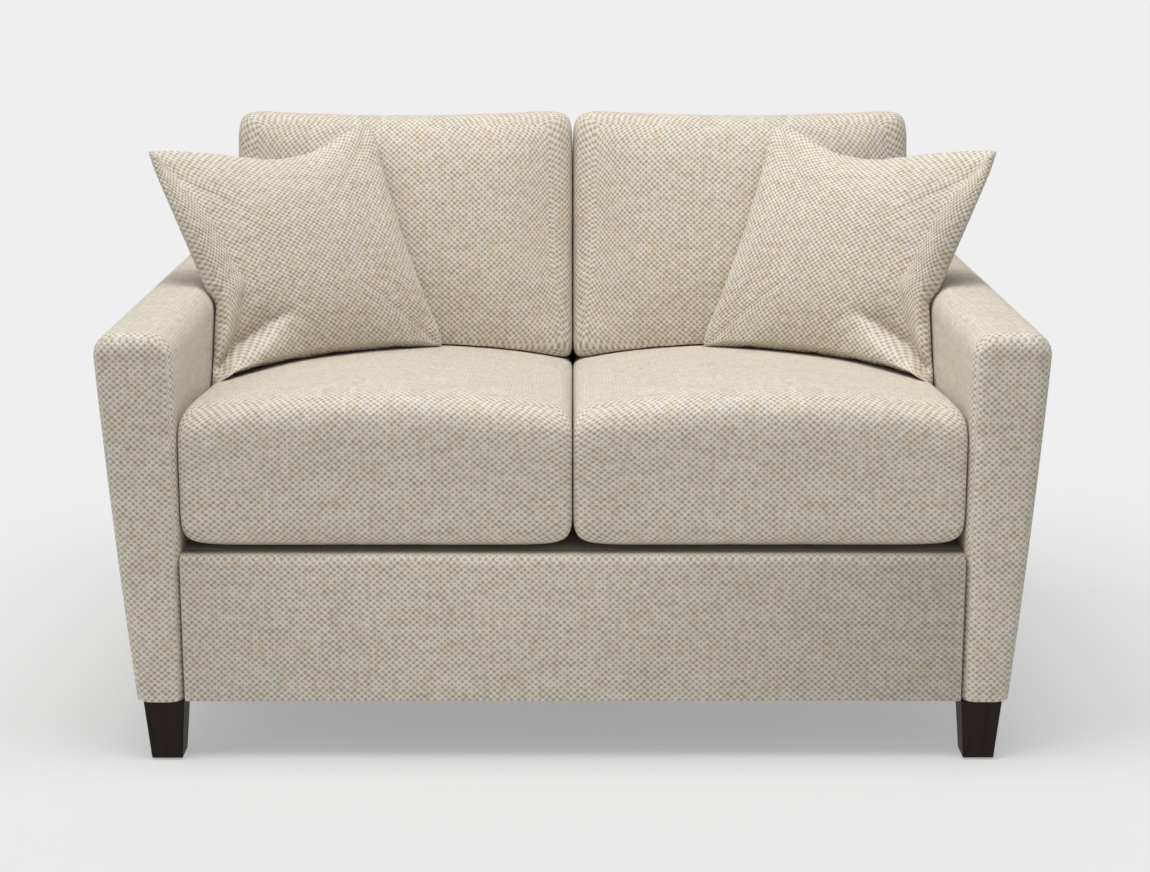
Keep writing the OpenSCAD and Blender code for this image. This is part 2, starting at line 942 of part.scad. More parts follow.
module seat_zip_slider() {
    color(steel)
        zip_slider(seat_centre_x - zip_half_length, seat_middle_z,
                   seat_zip_rear - zip_depth + chain_thickness + zip_gap);
}

// A slider with its tab, in a slot that starts at x and has its middle at height z
module zip_slider(x, z, y) {
    half_height = zip_height / 2 - zip_gap;
    slider_depth = zip_depth - chain_thickness - 2 * zip_gap;
    body_length = slider_length / 2;
    block([x + zip_gap, y, z - half_height],
          [x + zip_gap + body_length, y + slider_depth, z + half_height]);
    block([x + zip_gap, y, z - half_height / 2],
          [x + zip_gap + slider_length, y + slider_depth, z + half_height / 2]);
}

// Back cushions, drawn in a frame that leans with the inside back:
// x across, t up the lean and w out from the inside back

cushion_press_gap = 6 * rest_gap;
back_cushion_half_width = place_width / 2 - rest_gap;
back_cushion_middle_w = rest_gap + back_cushion_rear;
seat_rear_top = seat_middle_z - deck_z + (seat_edge_height - seat_slope) * fall(0.9, flat_power);
back_cushion_low_t = (seat_rear_top - back_cushion_middle_w * sin(back_lean)) / cos(back_lean);
back_cushion_centre_t = back_cushion_low_t + back_cushion_height / 2;
back_cushion_half_height = back_cushion_height / 2;

// Turns a point of the leaning frame into x, y and z
function from_lean(x, t, w) = [
    x,
    back_y + t * sin(back_lean) - w * cos(back_lean),
    deck_z + t * cos(back_lean) + w * sin(back_lean)
];

// Turns y and z into t and w of the leaning frame
function to_lean(y, z) = [
    (y - back_y) * sin(back_lean) + (z - deck_z) * cos(back_lean),
    (z - deck_z) * sin(back_lean) - (y - back_y) * cos(back_lean)
];

function back_cushion_swell(p) =
    back_cushion_front + back_cushion_crown * (1 - p.x * p.x) * (1 - p.y * p.y);

function back_square(p) = p.y < 0 ? back_lower_square_power : back_square_power;

function back_softness(p) = soft_power + (p.y < 0 ? back_lower_firmness * p.y * p.y : 0);

// How far the right back cushion's front stands out from the inside back at x and t
function back_cushion_front_w(x, t) =
    let (p = [(x - seat_centre_x) / back_cushion_half_width,
              (t - back_cushion_centre_t) / back_cushion_half_height])
    back_cushion_middle_w
        + back_cushion_swell([min(abs(p.x), 1), min(abs(p.y), 1)])
            * fall(gauge(p, back_square(p)), back_softness(p));

// A point of the back cushion, raised to stay on top of the seat cushion
function back_cushion_point(p, side, inset) =
    let (
        share = gauge(p, back_square(p)),
        dip = p.y > 0 ? back_cushion_dip * (1 - p.x * p.x) * p.y * p.y : 0,
        thickness = side > 0
            ? (back_cushion_swell(p) - inset) * fall(share, back_softness(p))
            : -(back_cushion_rear - inset) * fall(share, flat_power),
        free = from_lean(
            seat_centre_x + (back_cushion_half_width - inset) * p.x,
            back_cushion_centre_t + (back_cushion_half_height - inset) * p.y - dip,
            back_cushion_middle_w + thickness)
    )
    [free.x, free.y, max(free.z, seat_bearing(free.x, free.y) + cushion_press_gap + inset)];

function back_cushion_rings(walk_shares, rear_shares, front_shares, inset) =
    let (ring = [for (p = square_walk(walk_shares)) p / gauge(p, back_square(p))])
    concat(
        [for (share = reversed(rear_shares))
            [for (p = ring) back_cushion_point(p * share, -1, inset)]],
        [for (share = front_shares)
            [for (p = ring) back_cushion_point(p * share, 1, inset)]]
    );

module back_cushion_form() {
    skin(back_cushion_rings(side_shares, flat_cap_shares, soft_cap_shares, 0),
         back_cushion_point([0, 0], -1, 0), back_cushion_point([0, 0], 1, 0));
}

module back_cushion_inside(inset) {
    skin(back_cushion_rings(inner_side_shares, inner_cap_shares,
                            concat([1], inner_cap_shares), inset),
         back_cushion_point([0, 0], -1, inset), back_cushion_point([0, 0], 1, inset));
}

// Draws in the leaning frame: x across, y towards the rear and z up the lean
module leaning() {
    translate([0, back_y, deck_z])
        rotate([-back_lean, 0, 0])
            children();
}

back_zip_share = -0.4;
back_zip_t = back_cushion_centre_t + back_cushion_half_height * back_zip_share;
back_zip_rear = -rest_gap - surface_slack;

module back_zip_slot() {
    leaning()
        block([seat_centre_x - zip_half_length, back_zip_rear - zip_depth - overrun,
               back_zip_t - zip_height / 2],
              [seat_centre_x + zip_half_length, overrun, back_zip_t + zip_height / 2]);
}

module back_cushion_cover() {
    color(fabric)
        difference() {
            back_cushion_form();
            back_cushion_inside(cushion_cover);
            back_zip_slot();
        }
}

module back_cushion_fill() {
    color(fibre)
        difference() {
            back_cushion_inside(cushion_cover + rest_gap);
            leaning()
                block([seat_centre_x - zip_half_length - overrun,
                       back_zip_rear - zip_depth - overrun, back_zip_t - zip_height],
                      [seat_centre_x + zip_half_length + overrun, 0, back_zip_t + zip_height]);
        }
}

module back_zip_chain() {
    color(nylon)
        leaning()
            block([seat_centre_x - zip_half_length, back_zip_rear - zip_depth,
                   back_zip_t - zip_height / 2],
                  [seat_centre_x + zip_half_length, back_zip_rear - zip_depth + chain_thickness,
                   back_zip_t + zip_height / 2]);
}

module back_zip_slider() {
    color(steel)
        leaning()
            zip_slider(seat_centre_x - zip_half_length, back_zip_t,
                       back_zip_rear - zip_depth + chain_thickness + zip_gap);
}

// Throw pillows: a middle surface, bent round what it leans on, with a swell on both sides

pillow_shares = [1, 0.95, 0.87, 0.74, 0.55, 0.3];
pillow_inner_shares = [0.8, 0.4];
pillow_side_shares = [-1, -0.93, -0.75, -0.5, -0.25, 0, 0.25, 0.5, 0.75, 0.93];
pillow_seam = 14;
pillow_press_gap = 5 * rest_gap;
pillow_corner_gap = 3;
pillow_sink = 19;
pillow_stand_off = 12;
pillow_flop_direction = [0, -1, 0];
pillow_flare = 0.48;
arm_shoulder = 4;
pillow_corner_cut = 17;
pillow_corner_power = 40;
pillow_outer_draw_share = 0.35;
pillow_dip_share = -0.32;
pillow_dip_spread_share = 0.55;
pillow_stand_share = -0.2;
pillow_tip_share = 0.955;
pillow_half = pillow_side / 2;

pillow_normal = [-sin(pillow_turn) * cos(pillow_lean), -cos(pillow_turn) * cos(pillow_lean),
                 sin(pillow_lean)];
pillow_out = [cos(pillow_turn), -sin(pillow_turn), 0];
pillow_up = [sin(pillow_lean) * sin(pillow_turn), sin(pillow_lean) * cos(pillow_turn),
             cos(pillow_lean)];
pillow_across_axis = pillow_out * cos(pillow_lower_slope) - pillow_up * sin(pillow_lower_slope);
pillow_side_axis = pillow_up * cos(pillow_side_tilt) + pillow_out * sin(pillow_side_tilt);

// The pillow's lower outer corner rests on the seat by the arm,
// and its upper inner corner on the back cushion
pillow_outer_reach = pillow_tip_share
    * (pillow_across_axis * pillow_half - pillow_side_axis * pillow_outer_edge / 2);
pillow_inner_reach = pillow_tip_share
    * (pillow_side_axis * pillow_inner_edge / 2 - pillow_across_axis * pillow_half);
pillow_stand_z = seat_middle_z
    + (seat_edge_height - seat_slope * pillow_stand_share) * fall(0.9, flat_power);
pillow_centre_x = place_width - pillow_corner_gap - pillow_outer_reach.x;
pillow_centre_z = pillow_stand_z - pillow_sink - pillow_outer_reach.z;
pillow_back_swell = back_cushion_middle_w + back_cushion_front + back_cushion_crown
    + pillow_stand_off;
pillow_centre_y = back_y
    + (pillow_centre_z + pillow_inner_reach.z - deck_z) * tan(back_lean)
    - pillow_back_swell / cos(back_lean) - pillow_inner_reach.y;
pillow_centre = [pillow_centre_x, pillow_centre_y, pillow_centre_z];

// Half the pillow's thickness at a point of its square
function pillow_swell(p) =
    pillow_thickness / 2 * sqrt(max(0, (1 - p.x * p.x) * (1 - p.y * p.y)));

// The faces of the pillow at a middle point, as the two ends of its thickness
function pillow_faces(m, swell) = [m - pillow_normal * swell, m + pillow_normal * swell];

// Moves a middle point forward until both faces clear the back cushion
function press_back(m, swell, gap) =
    let (
        pushes = [for (face = pillow_faces(m, swell))
            let (lean = to_lean(face.y, face.z))
            back_cushion_front_w(face.x, lean[0]) + gap - lean[1]],
        push = max(0, max(pushes))
    )
    m + push * [0, -cos(back_lean), sin(back_lean)];

// Moves a middle point up until both faces clear the seat cushion
function press_seat(m, swell, gap) =
    let (
        pushes = [for (face = pillow_faces(m, swell)) seat_top(face.x, face.y) + gap - face.z],
        push = max(0, max(pushes))
    )
    m + push * [0, 0, 1];

// Moves a middle point inwards until both faces clear the arm and the slope above it
function press_arm(m, swell, gap) =
    let (
        pushes = [for (face = pillow_faces(m, swell))
            face.x + gap - place_width
                - pillow_flare * max(0, face.z - arm_height + arm_shoulder)],
        push = max(0, max(pushes))
    )
    m - push * [1, 0, 0];

function press(m, swell, gap) = press_arm(press_seat(press_back(m, swell, gap), swell, gap), swell, gap);

// Half the height of a pillow at a share of its width
function pillow_half_height(x) =
    (pillow_inner_edge + pillow_outer_edge + (pillow_outer_edge - pillow_inner_edge) * x) / 4;

// How far the top edge of a pillow dips at a share of its width
function pillow_dip_at(x) =
    pillow_dip * exp(-pow((x - pillow_dip_share) / pillow_dip_spread_share, 2));

// Blunts the corners of a pillow's square
function blunt(p) =
    let (
        edge = max(abs(p.x), abs(p.y)),
        corner = (abs(p.x) + abs(p.y)) / (2 - pillow_corner_cut / pillow_half),
        reach = gauge([gauge(p, pillow_corner_power), corner], pillow_corner_power)
    )
    edge == 0 ? p : p * (1 + (edge / reach - 1) * edge);

// A point of the right pillow; side is 1 on its front, -1 on its rear and 0 on its seam
function pillow_point(p, side, seam, wall) =
    let (
        reach = 1 - seam / pillow_half,
        q = p * reach,
        plan = blunt(q),
        draw_share = pillow_draw_in / pillow_half,
        side_draw_share = draw_share * (q.x > 0 ? pillow_outer_draw_share : 1),
        across = plan.x * (pillow_half + pillow_spread / 2 * q.y)
            * (1 - side_draw_share * (1 - q.y * q.y)),
        up = plan.y * pillow_half_height(q.x) * (1 - draw_share * (1 - q.x * q.x))
            - pillow_dip_at(q.x) * pow(max(0, q.y), 2),
        flop = pillow_flop * pow(max(0, q.x - q.y - 1), 2),
        swell = pillow_swell(p) * (1 - 2 * wall / pillow_thickness),
        free = pillow_centre + pillow_across_axis * across + pillow_side_axis * up
            + pillow_flop_direction * flop,
        gap = pillow_press_gap + wall,
        once = press(free, swell, gap),
        middle = press(once, swell, gap)
    )
    middle + pillow_normal * swell * side;

function pillow_rings(walk_shares, shares, seam, wall) =
    let (
        ring = square_walk(walk_shares),
        inner = [for (i = [1 : len(shares) - 1]) shares[i]]
    )
    concat(
        [for (share = reversed(inner)) [for (p = ring) pillow_point(p * share, -1, seam, wall)]],
        [[for (p = ring) pillow_point(p, 0, seam, wall)]],
        [for (share = inner) [for (p = ring) pillow_point(p * share, 1, seam, wall)]]
    );

module pillow_form() {
    skin(pillow_rings(pillow_side_shares, pillow_shares, 0, 0),
         pillow_point([0, 0], -1, 0, 0), pillow_point([0, 0], 1, 0, 0));
}

module pillow_inside(seam, wall) {
    skin(pillow_rings(pillow_side_shares, concat([1], pillow_inner_shares), seam, wall),
         pillow_point([0, 0], -1, seam, wall), pillow_point([0, 0], 1, seam, wall));
}

// The lapped opening in the rear of a pillow's cover
pillow_slit_share = 0.6;
pillow_slit_height = 2;

module pillow_slit() {
    centre = pillow_point([0, 0], -1, 0, 0);
    half_length = pillow_half * pillow_slit_share;
    translate(centre)
        rotate([0, 0, -pillow_turn])
            rotate([-pillow_lean, 0, 0])
                block([-half_length, -pillow_thickness / 2, -pillow_slit_height / 2],
                      [half_length, pillow_thickness / 2, pillow_slit_height / 2]);
}

module throw_pillow_cover() {
    color(fabric)
        difference() {
            pillow_form();
            pillow_inside(pillow_seam, cushion_cover);
            pillow_slit();
        }
}

module throw_pillow_fill() {
    color(fibre)
        pillow_inside(pillow_seam + rest_gap, cushion_cover + rest_gap);
}

place() mirrored() front_leg();  // leg_front_left
place() front_leg();  // leg_front_right
place() mirrored() to_rear() front_leg();  // leg_rear_left
place() to_rear() front_leg();  // leg_rear_right
place() leg_glides();
place() hanger_bolts();
place() tee_nuts();
place() front_rail();
place() back_rail();
place() mirrored() base_side_rail();  // base_side_rail_left
place() base_side_rail();  // base_side_rail_right
place() seat_springs();
place() spring_clips();
place() deck_pad();
place() deck_cover();
place() dust_cover();
place() front_rail_pad();
place() front_rail_cover();
place() mirrored() arm_cover();  // arm_cover_left
place() arm_cover();  // arm_cover_right
place() mirrored() arm_padding();  // arm_padding_left
place() arm_padding();  // arm_padding_right
place() mirrored() arm_front_panel();  // arm_front_panel_left
place() arm_front_panel();  // arm_front_panel_right
place() mirrored() arm_rear_panel();  // arm_rear_panel_left
place() arm_rear_panel();  // arm_rear_panel_right
place() mirrored() arm_top_rail();  // arm_top_rail_left
place() arm_top_rail();  // arm_top_rail_right
place() mirrored() arm_bottom_board();  // arm_bottom_board_left
place() arm_bottom_board();  // arm_bottom_board_right
place() mirrored() arm_inner_rail();  // arm_inner_rail_left
place() arm_inner_rail();  // arm_inner_rail_right
place() arm_bolts();
place() back_posts();
place() back_top_rail();
place() back_lower_rails();
place() back_webbing();
place() back_padding();
place() inside_back_cover();
place() outside_back_cover();
place() mirrored() seat_cushion_cover();  // seat_cushion_cover_left
place() seat_cushion_cover();  // seat_cushion_cover_right
place() mirrored() seat_cushion_core();  // seat_cushion_core_left
place() seat_cushion_core();  // seat_cushion_core_right
place() mirrored() seat_zip_chain();  // seat_zip_chain_left
place() seat_zip_chain();  // seat_zip_chain_right
place() mirrored() seat_zip_slider();  // seat_zip_slider_left
place() seat_zip_slider();  // seat_zip_slider_right
place() mirrored() back_cushion_cover();  // back_cushion_cover_left
place() back_cushion_cover();  // back_cushion_cover_right
place() mirrored() back_cushion_fill();  // back_cushion_fill_left
place() back_cushion_fill();  // back_cushion_fill_right
place() mirrored() back_zip_chain();  // back_zip_chain_left
place() back_zip_chain();  // back_zip_chain_right
place() mirrored() back_zip_slider();  // back_zip_slider_left
place() back_zip_slider();  // back_zip_slider_right
place() mirrored() throw_pillow_cover();  // throw_pillow_cover_left
place() throw_pillow_cover();  // throw_pillow_cover_right
place() mirrored() throw_pillow_fill();  // throw_pillow_fill_left
place() throw_pillow_fill();  // throw_pillow_fill_right
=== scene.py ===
# A two-seat upholstered settee with loose cushions and throw pillows, in metres.
# The right half is modelled first, and the left half mirrors it.
from math import atan, cos, exp, pi, radians, sin, sqrt, tan

import bmesh
import bpy
from mathutils import Matrix, Vector, noise
from mathutils.bvhtree import BVHTree


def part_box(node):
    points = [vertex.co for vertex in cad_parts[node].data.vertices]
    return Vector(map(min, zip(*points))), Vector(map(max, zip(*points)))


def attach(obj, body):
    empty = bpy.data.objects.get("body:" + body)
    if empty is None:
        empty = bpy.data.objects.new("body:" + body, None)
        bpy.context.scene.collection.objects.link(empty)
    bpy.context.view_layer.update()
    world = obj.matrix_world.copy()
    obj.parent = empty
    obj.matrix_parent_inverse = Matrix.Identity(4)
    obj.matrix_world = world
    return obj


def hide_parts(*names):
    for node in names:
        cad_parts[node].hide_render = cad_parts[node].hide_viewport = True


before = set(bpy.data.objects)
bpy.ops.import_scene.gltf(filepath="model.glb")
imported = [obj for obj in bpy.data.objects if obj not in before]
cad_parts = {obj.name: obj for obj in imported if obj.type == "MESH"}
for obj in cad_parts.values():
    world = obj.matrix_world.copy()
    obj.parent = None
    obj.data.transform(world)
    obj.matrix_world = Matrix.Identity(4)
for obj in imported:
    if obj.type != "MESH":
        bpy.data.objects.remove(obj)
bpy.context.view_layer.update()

MM = 0.001
# How far from a plane an edge may lie and still count as in it
HAIR = 0.1 * MM


def corners_of(node):
    """The lowest and the highest corner of a CAD node."""
    return [Vector(corner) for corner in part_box(node)]


# Sizes of the settee, taken from the frame where it has them
ARM_LOW, ARM_HIGH = corners_of("arm_cover_right")
RAIL_LOW, RAIL_HIGH = corners_of("front_rail_cover")
BACK_LOW, BACK_HIGH = corners_of("inside_back_cover")
SEAT_LOW, SEAT_HIGH = corners_of("seat_cushion_cover_right")
PLACE_WIDTH = ARM_LOW.x
FRONT_Y = ARM_LOW.y
REAR_Y = ARM_HIGH.y
LEG_HEIGHT = ARM_LOW.z
ARM_HEIGHT = ARM_HIGH.z
DECK_Z = RAIL_HIGH.z
BACK_Y = BACK_LOW.y

ARM_FOOT_WIDTH = 75 * MM
ARM_TOP_WIDTH = 120 * MM
ARM_BOW = 3 * MM
ARM_TOP_ROUND = 36 * MM
ARM_FRONT_ROUND = 24 * MM
ARM_REAR_ROUND = ARM_FRONT_ROUND / 2
ARM_FOOT_ROUND = 2.5 * MM
RAIL_ROUND = 14 * MM
RAIL_FOOT_ROUND = 3 * MM
BACK_LEAN = radians(12)
BACK_ROUND = 16 * MM
REST_GAP = 0.4 * MM

# Camera and light

PHOTO_WIDTH_PX = 1150
FOCAL_PX = 2308
CENTRE_OFFSET_PX = 2.3
SENSOR_WIDTH = 36
CAMERA_PLACE = (0, -3.800, 1.280)
CAMERA_TILT = radians(13.07)


def add_camera():
    camera = bpy.data.objects.new("camera", bpy.data.cameras.new("camera"))
    camera.data.sensor_width = SENSOR_WIDTH
    camera.data.lens = SENSOR_WIDTH * FOCAL_PX / PHOTO_WIDTH_PX
    camera.location = CAMERA_PLACE
    camera.rotation_euler = (pi / 2 - CAMERA_TILT, 0, -atan(CENTRE_OFFSET_PX / FOCAL_PX))
    bpy.context.collection.objects.link(camera)
    bpy.context.scene.camera = camera


# A weak far light comes from the left, a large soft lamp hangs above, and a faint low one
# stands in front
SIDE_LIGHT_FROM = (-0.75, -0.15, 0.65)
SIDE_LIGHT_STRENGTH = 0.7
SIDE_LIGHT_SOFTNESS = radians(50)
AMBIENT = 0.285
BACKDROP_LEVEL = 0.86
SOFTBOX_FORWARD = 0.75
SOFTBOX_HEIGHT = 3.4
SOFTBOX_WIDTH = 2.8
SOFTBOX_DEPTH = 1.8
SOFTBOX_POWER = 91
LOW_LIGHT_PLACE = (0, -2.4, 0.25)
LOW_LIGHT_WIDTH = 2.4
LOW_LIGHT_DEPTH = 0.3
LOW_LIGHT_POWER = 0.8
LOW_LIGHT_TILT = radians(92)
LOW_LIGHT_SPREAD = radians(60)


def add_side_light():
    """A very soft light that makes the left a little lighter than the right."""
    side = bpy.data.objects.new("side_light", bpy.data.lights.new("side_light", "SUN"))
    side.data.energy = SIDE_LIGHT_STRENGTH
    side.data.angle = SIDE_LIGHT_SOFTNESS
    side.rotation_euler = Vector(SIDE_LIGHT_FROM).to_track_quat("Z", "Y").to_euler()
    bpy.context.collection.objects.link(side)


def add_panel(name, width, depth, power, place, tilt=0, spread=pi):
    """A rectangular lamp that the camera doesn't see; spread is the angle its light fans out to."""
    panel = bpy.data.objects.new(name, bpy.data.lights.new(name, "AREA"))
    panel.data.shape = "RECTANGLE"
    panel.data.size = width
    panel.data.size_y = depth
    panel.data.energy = power
    panel.data.spread = spread
    panel.location = place
    panel.rotation_euler = (tilt, 0, 0)
    panel.visible_camera = False
    bpy.context.collection.objects.link(panel)


def add_world(light, backdrop):
    """Even light all round, while the camera and reflections see the backdrop's colour."""
    world = bpy.data.worlds.new("studio")
    world.use_nodes = True
    bpy.context.scene.world = world
    nodes, links = world.node_tree.nodes, world.node_tree.links
    nodes.clear()
    output = nodes.new("ShaderNodeOutputWorld")
    mix = nodes.new("ShaderNodeMixShader")
    even = nodes.new("ShaderNodeBackground")
    even.inputs["Color"].default_value = (*light, 1)
    seen = nodes.new("ShaderNodeBackground")
    seen.inputs["Color"].default_value = (*backdrop, 1)
    path = nodes.new("ShaderNodeLightPath")
    camera_or_glossy = nodes.new("ShaderNodeMath")
    camera_or_glossy.operation = "MAXIMUM"
    any_seen = nodes.new("ShaderNodeMath")
    any_seen.operation = "MAXIMUM"
    links.new(path.outputs["Is Camera Ray"], camera_or_glossy.inputs[0])
    links.new(path.outputs["Is Glossy Ray"], camera_or_glossy.inputs[1])
    links.new(camera_or_glossy.outputs[0], any_seen.inputs[0])
    links.new(path.outputs["Is Transmission Ray"], any_seen.inputs[1])
    links.new(any_seen.outputs[0], mix.inputs["Fac"])
    links.new(even.outputs[0], mix.inputs[1])
    links.new(seen.outputs[0], mix.inputs[2])
    links.new(mix.outputs[0], output.inputs["Surface"])


# Materials


class Finish:
    """A material under construction: adds nodes and links them in one call."""

    def __init__(self, name):
        self.material = bpy.data.materials.new(name)
        self.material.use_nodes = True
        self.tree = self.material.node_tree
        self.shader = self.tree.nodes["Principled BSDF"]

    def node(self, kind, settings=None, **inputs):
        made = self.tree.nodes.new("ShaderNode" + kind)
        for key, value in (settings or {}).items():
            setattr(made, key, value)
        for key, value in inputs.items():
            self.feed(made.inputs[key.replace("_", " ")], value)
        return made

    def feed(self, socket, value):
        if isinstance(value, bpy.types.NodeSocket):
            self.tree.links.new(value, socket)
        elif hasattr(value, "outputs"):
            self.tree.links.new(value.outputs[0], socket)
        elif isinstance(value, tuple) and len(value) == 3 and socket.type == "RGBA":
            socket.default_value = (*value, 1)
        else:
            socket.default_value = value

    def maths(self, operation, first, second=0.0, third=0.0):
        made = self.tree.nodes.new("ShaderNodeMath")
        made.operation = operation
        for socket, value in zip(made.inputs, (first, second, third)):
            self.feed(socket, value)
        return made.outputs[0]

    def mix(self, share, first, second):
        made = self.tree.nodes.new("ShaderNodeMix")
        made.data_type = "RGBA"
        self.feed(made.inputs["Factor"], share)
        self.feed(made.inputs["A"], first)
        self.feed(made.inputs["B"], second)
        return made.outputs["Result"]

    def blur_step(self, value, low, high):
        made = self.node("MapRange", {"interpolation_type": "SMOOTHSTEP"}, Value=value)
        made.inputs["From Min"].default_value = low
        made.inputs["From Max"].default_value = high
        return made.outputs["Result"]

    def noise(self, vector, scale, detail=2.0, roughness=0.5):
        made = self.node("TexNoise", Vector=vector, Scale=scale, Detail=detail, Roughness=roughness)
        return made.outputs[0]

    def stretched(self, vector, scale):
        return self.node("Mapping", Vector=vector, Scale=scale).outputs[0]

    def bump(self, height, distance, strength=1.0, normal=None):
        made = self.node("Bump", Height=height, Distance=distance, Strength=strength)
        if normal is not None:
            self.feed(made.inputs["Normal"], normal)
        return made.outputs["Normal"]

    def surface(self, colour, normal=None, **constants):
        self.feed(self.shader.inputs["Base Color"], colour)
        if normal is not None:
            self.feed(self.shader.inputs["Normal"], normal)
        for key, value in constants.items():
            self.shader.inputs[key.replace("_", " ")].default_value = value
        return self.material


CELL_WIDTH = 5.3 * MM
CELL_HEIGHT = 4.9 * MM
THREADS_PER_CELL = 3
YARN_WANDER = 3.2 * MM
WEAVE_RELIEF = 1.1 * MM
CLOTH_RIPPLE = 6 * MM
LIGHT_YARN = (0.70, 0.66, 0.58)
WARM_LIGHT_YARN = (0.68, 0.59, 0.46)
# The tan colours fill the weave's hollows: partly the tan yarn's own colour, partly painted shade of
# the hollows
TAN_YARN_AND_HOLLOW_SHADE = (0.34, 0.314, 0.253)
WARM_TAN_YARN_AND_HOLLOW_SHADE = (0.37, 0.28, 0.178)


def basket_weave(name):
    """A chunky basket weave of light and tan yarn, on a UV map in metres; the tan in the hollows
    between raised cells is partly the tan yarn's own colour and partly painted shade of those hollows.
    """
    finish = Finish(name)
    cloth = finish.node("UVMap", {"uv_map": "weave"}).outputs[0]
    wander = finish.noise(cloth, 26.0, 1.0)
    drift = finish.maths("MULTIPLY_ADD", wander, YARN_WANDER, -YARN_WANDER / 2)
    apart = finish.node("SeparateXYZ", Vector=cloth)
    across = finish.maths("ADD", apart.outputs["X"], drift)
    along = finish.maths("ADD", apart.outputs["Y"], drift)
    wave_across = finish.maths("SINE", finish.maths("MULTIPLY", across, pi / CELL_WIDTH))
    wave_along = finish.maths("SINE", finish.maths("MULTIPLY", along, pi / CELL_HEIGHT))
    check = finish.maths("MULTIPLY", wave_across, wave_along)
    blotch = finish.noise(cloth, 95.0, 2.0)
    patch = finish.noise(finish.stretched(cloth, (13, 55, 1)), 1.0, 2.0)
    uneven = finish.maths("MULTIPLY_ADD", blotch, 1.5, -0.75)
    uneven = finish.maths("ADD", uneven, finish.maths("MULTIPLY_ADD", patch, 0.7, -0.35))
    dome = finish.maths("MULTIPLY_ADD", check, 0.5, 0.5)
    raised = finish.blur_step(finish.maths("ADD", check, uneven), -1.05, 0.55)

    # Slubs: long soft streaks of a warmer yarn along both directions
    weft = finish.noise(finish.stretched(cloth, (22, 190, 1)), 1.0, 2.0)
    warp = finish.noise(finish.stretched(cloth, (170, 20, 1)), 1.0, 2.0)
    cloud = finish.noise(cloth, 11.0, 3.0)
    grain = finish.noise(cloth, 330.0, 2.0)

    light_yarn = finish.mix(finish.blur_step(warp, 0.44, 0.66), LIGHT_YARN, WARM_LIGHT_YARN)
    tan_yarn_and_hollow_shade = finish.mix(finish.blur_step(weft, 0.44, 0.66), TAN_YARN_AND_HOLLOW_SHADE, WARM_TAN_YARN_AND_HOLLOW_SHADE)
    # Tan goes into the hollows between raised cells: partly the tan yarn, partly painted shade there
    yarns_and_hollow_shade = finish.mix(raised, tan_yarn_and_hollow_shade, light_yarn)
    shade = finish.maths("MULTIPLY_ADD", cloud, 0.12, 0.94)
    fibre = finish.maths("MULTIPLY_ADD", grain, 0.20, 0.90)
    tone = finish.maths("MULTIPLY", shade, fibre)
    scaled = finish.node("VectorMath", {"operation": "SCALE"})
    finish.feed(scaled.inputs[0], yarns_and_hollow_shade)
    finish.feed(scaled.inputs["Scale"], tone)

    # Each raised cell is a bundle of threads that run along it
    turns = finish.maths("MULTIPLY", across, 2 * pi * THREADS_PER_CELL / CELL_WIDTH)
    threads = finish.maths("SINE", turns)
    ribs = finish.maths("MULTIPLY", finish.maths("MULTIPLY_ADD", threads, 0.5, 0.5), raised)
    height = finish.maths("MULTIPLY_ADD", ribs, 0.15, dome)
    height = finish.maths("MULTIPLY_ADD", grain, 0.20, height)
    normal = finish.bump(height, WEAVE_RELIEF, 0.8)
    soft = finish.noise(cloth, 7.0, 2.0)
    normal = finish.bump(soft, CLOTH_RIPPLE, 0.35, normal)
    return finish.surface(scaled.outputs[0], normal, Roughness=0.92, Sheen_Weight=0.18,
                          Sheen_Roughness=0.6, Specular_IOR_Level=0.2)


def plain_cloth(name, colour, thread, mottling=0.12):
    """A thin plain cloth with fine threads both ways, on Object coordinates."""
    finish = Finish(name)
    place = finish.node("TexCoord").outputs["Object"]
    apart = finish.node("SeparateXYZ", Vector=place)
    waves = [finish.maths("SINE", finish.maths("MULTIPLY", apart.outputs[axis], 2 * pi / thread))
             for axis in "XYZ"]
    height = finish.maths("ADD", finish.maths("ADD", waves[0], waves[1]), waves[2])
    cloud = finish.noise(place, 18.0, 3.0)
    dark = tuple(channel * (1 - 2 * mottling) for channel in colour)
    light = tuple(min(1.0, channel * (1 + 2 * mottling)) for channel in colour)
    tint = finish.mix(finish.blur_step(cloud, 0.3, 0.7), dark, light)
    return finish.surface(tint, finish.bump(height, 0.1 * MM, 0.5), Roughness=0.95,
                          Sheen_Weight=0.1, Specular_IOR_Level=0.2)


def open_foam(name, colour, scale):
    """Foam or loose fibre: fine pits and a soft change of tone."""
    finish = Finish(name)
    place = finish.node("TexCoord").outputs["Object"]
    cells = finish.node("TexVoronoi", Vector=place, Scale=scale)
    cloud = finish.noise(place, 9.0, 3.0)
    dark = tuple(channel * 0.84 for channel in colour)
    tint = finish.mix(finish.blur_step(cloud, 0.3, 0.7), dark, colour)
    return finish.surface(tint, finish.bump(cells.outputs[0], 0.8 * MM, 0.6), Roughness=0.95,
                          Specular_IOR_Level=0.15)


def timber(name, light, dark, stretch, roughness, gloss=0.5, grain_bump=0.15):
    """Wood with long grain; stretch is the pattern's scale along x, y and z."""
    finish = Finish(name)
    place = finish.node("TexCoord").outputs["Object"]
    along = finish.stretched(place, stretch)
    bands = finish.noise(along, 1.0, 6.0, 0.6)
    pores = finish.noise(finish.stretched(along, (5, 5, 5)), 1.0, 3.0)
    share = finish.maths("MULTIPLY_ADD", pores, 0.35, finish.maths("MULTIPLY", bands, 0.8))
    tint = finish.mix(finish.blur_step(share, 0.35, 0.75), dark, light)
    height = finish.maths("ADD", bands, pores)
    return finish.surface(tint, finish.bump(height, grain_bump * MM, 0.6), Roughness=roughness,
                          Specular_IOR_Level=gloss)


